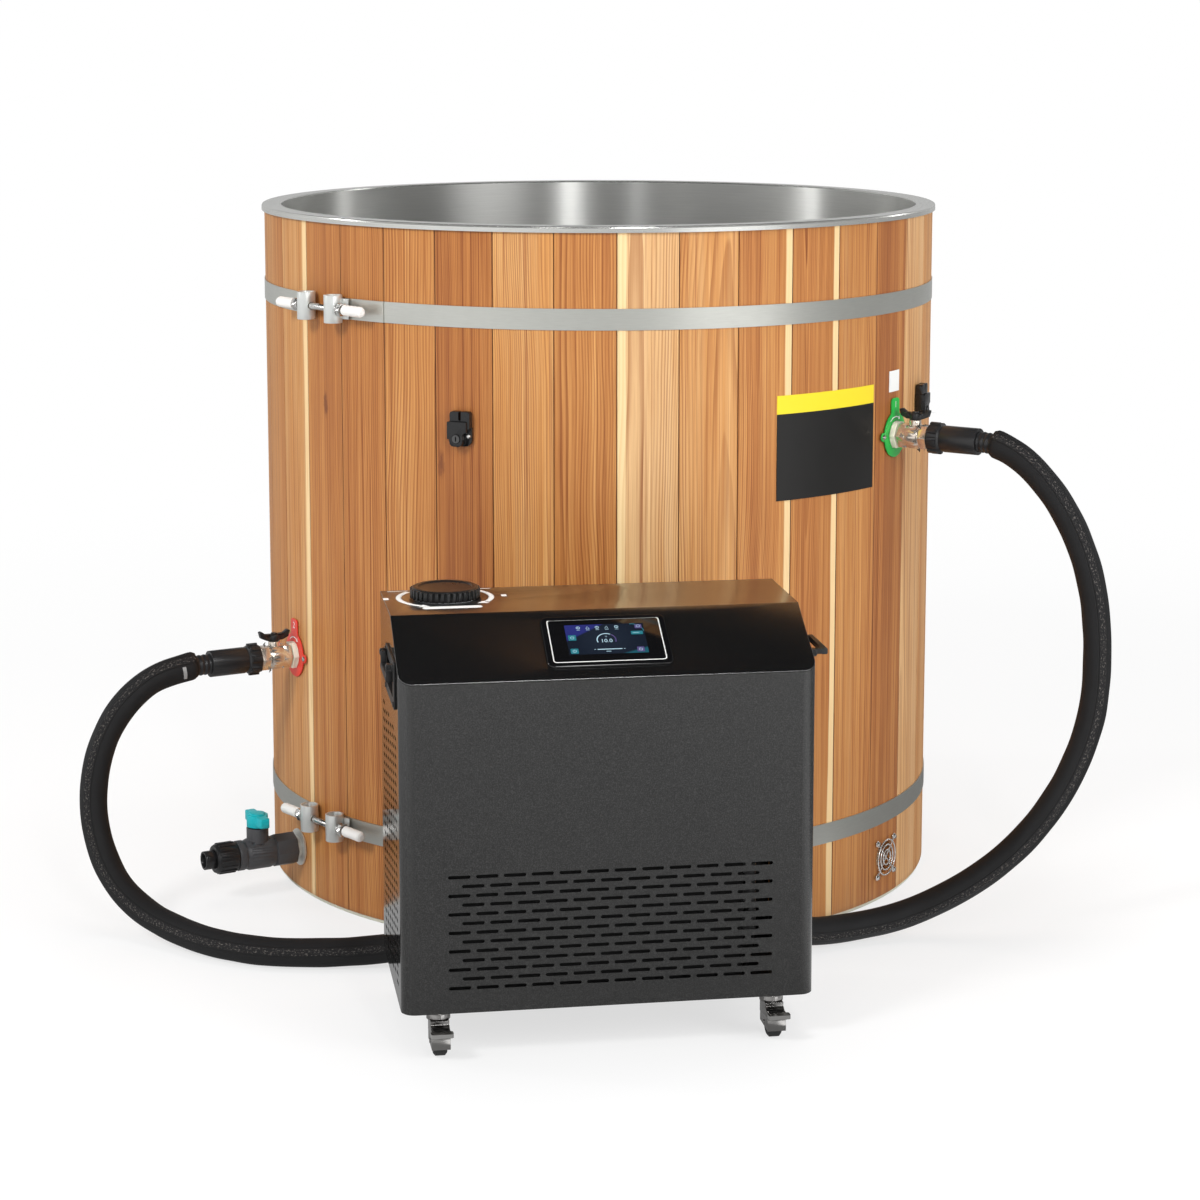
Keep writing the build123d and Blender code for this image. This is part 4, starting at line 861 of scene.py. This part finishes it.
def screen_glow():
    """The lit screen: dark blue at its upper left, teal glints at its corners."""
    f = Finish("screen_glow", (0.004, 0.006, 0.012), 0.1, Emission_Strength=1.0)
    spot = DISPLAY.to_translation()
    right = DISPLAY.to_3x3() @ Vector((1.0, 0.0, 0.0))
    up = DISPLAY.to_3x3() @ Vector((0.0, 1.0, 0.0))
    u = f.dot(right) - right.dot(spot)
    v = f.dot(up) - up.dot(spot)
    slant = v * 0.9 - u * 0.55
    blue = slant.rise(0.026, 0.030)
    glow = (u * u + (v - 0.002) * (v - 0.002)) ** 0.5
    low = (v * -1.0 + u * 0.35).rise(0.030, 0.034)
    night = f.mix(glow.rise(0.0, 0.05), (0.010, 0.014, 0.020), (0.004, 0.006, 0.009))
    lit = f.mix(blue, night, (0.02, 0.022, 0.16))
    lit = f.mix(low, lit, (0.01, 0.09, 0.12))
    f.set("Emission Color", lit)
    return f


def lit(name, colour):
    f = Finish(name, tuple(c * 0.2 for c in colour), 0.4, Emission_Strength=1.0)
    shade = f.noise(f.place(), 120.0, 2.0)
    f.set("Emission Color", f.mix(shade * 0.5, colour, tuple(c * 0.7 for c in colour)))
    return f


def print_ink(name, colour):
    f = Finish(name, colour, 0.5)
    wear = f.noise(f.place(), 260.0, 4.0, 0.7)
    f.set("Base Color", f.mix(wear.rise(0.55, 0.8) * 0.5, colour, tuple(c * 0.6 for c in colour)))
    f.set("Roughness", 0.45 + wear * 0.15)
    return f


INK = print_ink("white_ink", (0.82, 0.82, 0.80))
PALE = lit("screen_pale", (0.42, 0.62, 0.72))
TEAL = lit("screen_teal", (0.01, 0.16, 0.20))
VIOLET = lit("screen_violet", (0.07, 0.05, 0.17))
FLAT = 0.00012


def raised(place, height):
    return place @ Matrix.Translation((0.0, 0.0, height))


def display():
    top = 0.0022
    frame_line = stroke(rounded(0.141, 0.078, 0.004, 0.0, 0.001), 0.0014, FLAT, True)
    settle(frame_line, "display_frame_line", raised(DISPLAY, top), INK)
    screen = patch(0.0995, 0.055, 0.0008, FLAT, 0.0, 0.0025, 2)
    settle(screen, "display_screen", raised(DISPLAY, top), screen_glow())
    marks = [
        stroke(arc(0.0118, 200.0, 60.0, 0.0, 0.0005), 0.0013, FLAT),
        digits("10.0", 0.0088, FLAT / 2, 0.0, -0.0012),
        digits("°C", 0.0030, FLAT / 2, 0.0, 0.0068),
        stroke([(-0.0135, -0.0165), (0.0175, -0.0165)], 0.0014, FLAT),
        stroke([(-0.0175, -0.0165), (-0.0158, -0.0165)], 0.0008, FLAT),
        stroke([(0.0195, -0.0165), (0.0212, -0.0165)], 0.0008, FLAT),
        stroke([(-0.0030, -0.0205), (0.0030, -0.0205)], 0.0009, FLAT),
    ]
    marks += icons()
    settle(joined(marks), "display_pale_marks", raised(DISPLAY, top + FLAT), PALE)
    tiles = [
        patch(0.0098, 0.0098, 0.001, FLAT, -0.0425, 0.0062, 3),
        patch(0.0098, 0.0092, 0.001, FLAT, -0.0425, -0.0185, 3),
        patch(0.0150, 0.0062, 0.001, FLAT, 0.0400, 0.0122, 3),
        stroke(arc(0.0150, 95.0, 5.0, 0.0340, 0.0140), 0.0010, FLAT),
    ]
    settle(joined(tiles), "display_teal_tiles", raised(DISPLAY, top + FLAT), TEAL)
    extra = [
        stroke(arc(0.0118, 55.0, -20.0, 0.0, 0.0005), 0.0014, FLAT),
        patch(0.0088, 0.0072, 0.001, FLAT, 0.0430, 0.0240, 3),
        patch(0.0092, 0.0088, 0.001, FLAT, 0.0405, -0.0185, 3),
    ]
    settle(joined(extra), "display_violet_tiles", raised(DISPLAY, top + FLAT), VIOLET)


def icons():
    """Small generic signs: rings and peaks in a row, and rings with a bar on the tiles."""
    row = 0.0245
    size = 0.0022
    made = []
    for number, x in enumerate((-0.033, -0.021, -0.009, 0.003, 0.0155)):
        if number % 2 == 0:
            made.append(stroke(arc(size, 0.0, 360.0, x, row, 14), 0.0007, FLAT))
            made.append(stroke([(x, row - size), (x, row + size)], 0.0006, FLAT))
        else:
            peak = [(x - size, row - size), (x, row + size), (x + size, row - size)]
            made.append(stroke(peak, 0.0007, FLAT, True))
        made.append(stroke([(x - size, row - 0.0043), (x + size, row - 0.0043)], 0.0006, FLAT))
    made.append(stroke(arc(size, 0.0, 360.0, 0.0430, row, 14), 0.0007, 2.2 * FLAT))
    for x, y in ((-0.0425, 0.0062), (-0.0425, -0.0185), (0.0405, -0.0185)):
        made.append(stroke(arc(size, 120.0, 420.0, x, y, 14), 0.0008, 2.2 * FLAT))
        made.append(stroke([(x, y), (x, y + size * 1.2)], 0.0007, 2.2 * FLAT))
    made.append(stroke([(0.0345, 0.0122), (0.0430, 0.0122)], 0.0009, 2.2 * FLAT))
    return made


def rounded(width, height, corner, x, y):
    points = []
    for sx, sy, start in ((1, 1, 0.0), (-1, 1, 90.0), (-1, -1, 180.0), (1, -1, 270.0)):
        cx = x + sx * (width / 2 - corner)
        cy = y + sy * (height / 2 - corner)
        points += arc(corner, start, start + 90.0, cx, cy, 5)
    return points


def filter_marks():
    """Turning arrows either side of the filter cap, and a blank white bar in front of it."""
    marks = [
        stroke(arc(0.0595, 138.0, 232.0), 0.0075, FLAT),
        stroke(arc(0.0595, 42.0, -34.0), 0.0075, FLAT),
        arrowhead(0.0085, -28.0, FLAT, -0.0320, -0.0500),
        arrowhead(0.0085, 205.0, FLAT, 0.0450, -0.0385),
        patch(0.0760, 0.0135, 0.0055, FLAT, 0.0030, -0.0625),
        patch(0.0070, 0.0115, 0.0012, FLAT, -0.0760, 0.0),
        patch(0.0070, 0.0115, 0.0012, FLAT, 0.0760, 0.0),
        stroke([(-0.0700, 0.0470), (-0.0440, 0.0470)], 0.0022, FLAT),
        stroke([(0.0380, 0.0470), (0.0640, 0.0470)], 0.0022, FLAT),
    ]
    place = TOP @ Matrix.Translation((CAP.x, CAP.y, 0.00002))
    settle(joined(marks), "filter_cap_arrows", place, INK)


def tag_numbers():
    for name, words, angle, height in (("inlet", "1", 57.5, 0.685), ("outlet", "2", -61.8, 0.356)):
        marks = [
            digits(words, 0.013, FLAT, 0.0, 0.0430),
            stroke(arc(0.0255, 128.0, 68.0), 0.0016, FLAT),
            arrowhead(0.0034, -32.0, FLAT, 0.0112, 0.0226),
        ]
        place = raised(wall(angle, height), 0.0028)
        settle(joined(marks), f"{name}_tag_number", place, INK)


display()
filter_marks()
tag_numbers()

# How wide each part's rounded edges are
EDGES = {
    "display_panel": 0.0004,
    "cover_clips": 0.0006,
    "handle_cups": 0.0004,
    "left_grip": 0.0005,
    "right_grip": 0.0005,
    "port_locknuts": 0.0006,
    "valve_bodies": 0.0006,
    "inlet_valve_handle": 0.0006,
    "outlet_valve_handle": 0.0006,
    "union_nuts": 0.0005,
    "drain_valve_body": 0.0008,
    "drain_valve_handle": 0.0008,
    "drain_coupling": 0.0005,
    "hoop_lugs": 0.0004,
    "tension_bolts": 0.0004,
    "inlet_tag": 0.0004,
    "outlet_tag": 0.0004,
    "filter_cap": 0.0003,
    "front_left_fork": 0.0003,
    "front_right_fork": 0.0003,
    "rear_left_fork": 0.0003,
    "rear_right_fork": 0.0003,
}
for node_name, width in EDGES.items():
    softened(node_name, width)
softened("top_cover", 0.0006, 18.0)


# Floor, lights and camera

EVEN_LIGHT = 0.43
LOOKED_AT = Vector((0.0, -0.2, 0.45))
# Each lamp's name, place, width, height and power in watts; only the strips are mirrored
LAMPS = (
    ("key", (-2.6, -3.4, 3.4), 1.0, 1.0, 122.0),
    ("fill", (3.6, -3.2, 2.0), 2.4, 2.4, 108.0),
    ("top", (0.2, 0.4, 4.2), 2.4, 2.4, 60.0),
    ("back", (-1.0, 4.2, 2.6), 2.6, 2.6, 35.0),
    ("strip_middle", (0.95, -4.6, 3.1), 0.36, 2.6, 42.0),
    ("strip_near", (-1.30, -4.6, 3.1), 0.14, 2.6, 9.0),
    ("strip_left", (-4.6, 0.3, 2.6), 0.35, 2.4, 26.0),
    ("strip_right", (4.2, 2.2, 2.6), 0.35, 2.4, 16.0),
)
CAMERA_PLACE = (-0.0023, -4.300, 1.2958)
CAMERA_PITCH = math.radians(8.5)


class Surroundings(Finish):
    """The world, built with the same tools as a finish."""

    def __init__(self, name):
        self.world = bpy.data.worlds.new(name)
        self.world.use_nodes = True
        self.tree = self.world.node_tree
        self.shader = self.tree.nodes["Background"]


def rays(finish):
    """What the camera sees directly or through glass, and what shiny things mirror."""
    path = finish.add("ShaderNodeLightPath").socket.node.outputs
    seen = Wire(finish, path["Is Camera Ray"]).most(Wire(finish, path["Is Transmission Ray"]))
    return seen, Wire(finish, path["Is Glossy Ray"])


def studio_side(x, y):
    """How bright the mirrored studio is in each level direction: bright on the left, dim on the right."""
    left = (y * -0.35 - x * 0.94).rise(0.2, 0.95)
    front = (y * -1.0).rise(-0.1, 0.6)
    behind = y.rise(0.1, 0.9) * (1.0 - x.rise(0.2, 0.9))
    strip = (x * 0.68 - y * 0.73).rise(0.93, 1.0)
    return left * 0.35 + front * 0.22 + behind * 0.2 + strip * 1.4 + 0.34


def pale_floor():
    """A pale floor that keeps the object's shadow close by and is plain white further off."""
    f = Finish("floor", (0.86, 0.86, 0.86), 0.9)
    x, y, _ = f.axes(f.place())
    reach = (x * x + y * y) ** 0.5 + 0.001
    far = reach.rise(0.9, 3.2)
    seen, mirrored = rays(f)
    shine = mirrored * (0.42 + far * 0.58) * studio_side(x / reach, y / reach)
    white = f.add("ShaderNodeEmission", None, {"Color": (1.0, 1.0, 1.0), "Strength": 1.0})
    dim = f.add("ShaderNodeBsdfDiffuse", None, {"Color": (0.05, 0.05, 0.05)})
    mirror = f.add("ShaderNodeMixShader", None, {0: shine, 1: dim, 2: white})
    open_floor = f.add("ShaderNodeMixShader", None, {0: seen * (0.68 + far * 0.32)})
    f.tree.links.new(f.shader.outputs[0], open_floor.socket.node.inputs[1])
    f.tree.links.new(white.socket, open_floor.socket.node.inputs[2])
    both = f.add("ShaderNodeMixShader", None, {0: mirrored, 1: open_floor, 2: mirror})
    f.tree.links.new(both.socket, f.tree.nodes["Material Output"].inputs["Surface"])
    return f


def surroundings():
    """White behind the object, even light on it, and a softly lit studio in what it mirrors."""
    w = Surroundings("studio")
    x, y, z = w.axes(w.add("ShaderNodeTexCoord", output=0))
    seen, mirrored = rays(w)
    low = (1.0 - z * z).most(0.01) ** 0.5  # how level each direction is
    ceiling = 1.0 - z.rise(0.28, 0.62) * 0.975
    studio_light = studio_side(x / low, y / low) * ceiling
    plain = EVEN_LIGHT + mirrored * (studio_light - EVEN_LIGHT)
    w.set("Strength", plain + seen * (1.0 - plain))
    w.set("Color", (1.0, 1.0, 1.0))
    return w.world


def floor_and_world():
    floor_finish = pale_floor()
    bpy.ops.mesh.primitive_plane_add(size=40.0, location=(0.0, 6.0, -0.0005))
    floor = bpy.context.object
    floor.name = "floor"
    bpy.ops.object.transform_apply(location=True, rotation=True, scale=True)
    floor.data.materials.append(floor_finish.material)
    bpy.context.scene.world = surroundings()


def lamps():
    for name, place, wide, tall, power in LAMPS:
        light = bpy.data.lights.new(name, "AREA")
        light.shape = "RECTANGLE"
        light.size = wide
        light.size_y = tall
        light.energy = power
        lamp = bpy.data.objects.new(name, light)
        lamp.location = place
        aim = LOOKED_AT - Vector(place)
        lamp.rotation_euler = aim.to_track_quat("-Z", "Y").to_euler()
        lamp.visible_glossy = name.startswith("strip")
        bpy.context.collection.objects.link(lamp)


def camera():
    lens = bpy.data.cameras.new("camera")
    lens.lens = 85.6
    lens.sensor_width = 36.0
    lens.shift_x = 0.0026
    lens.shift_y = -0.143
    holder = bpy.data.objects.new("camera", lens)
    holder.location = CAMERA_PLACE
    holder.rotation_euler = (math.pi / 2 - CAMERA_PITCH, 0.0, 0.0)
    bpy.context.collection.objects.link(holder)
    bpy.context.scene.camera = holder
    bpy.context.scene.view_settings.view_transform = "Standard"


floor_and_world()
lamps()
camera()
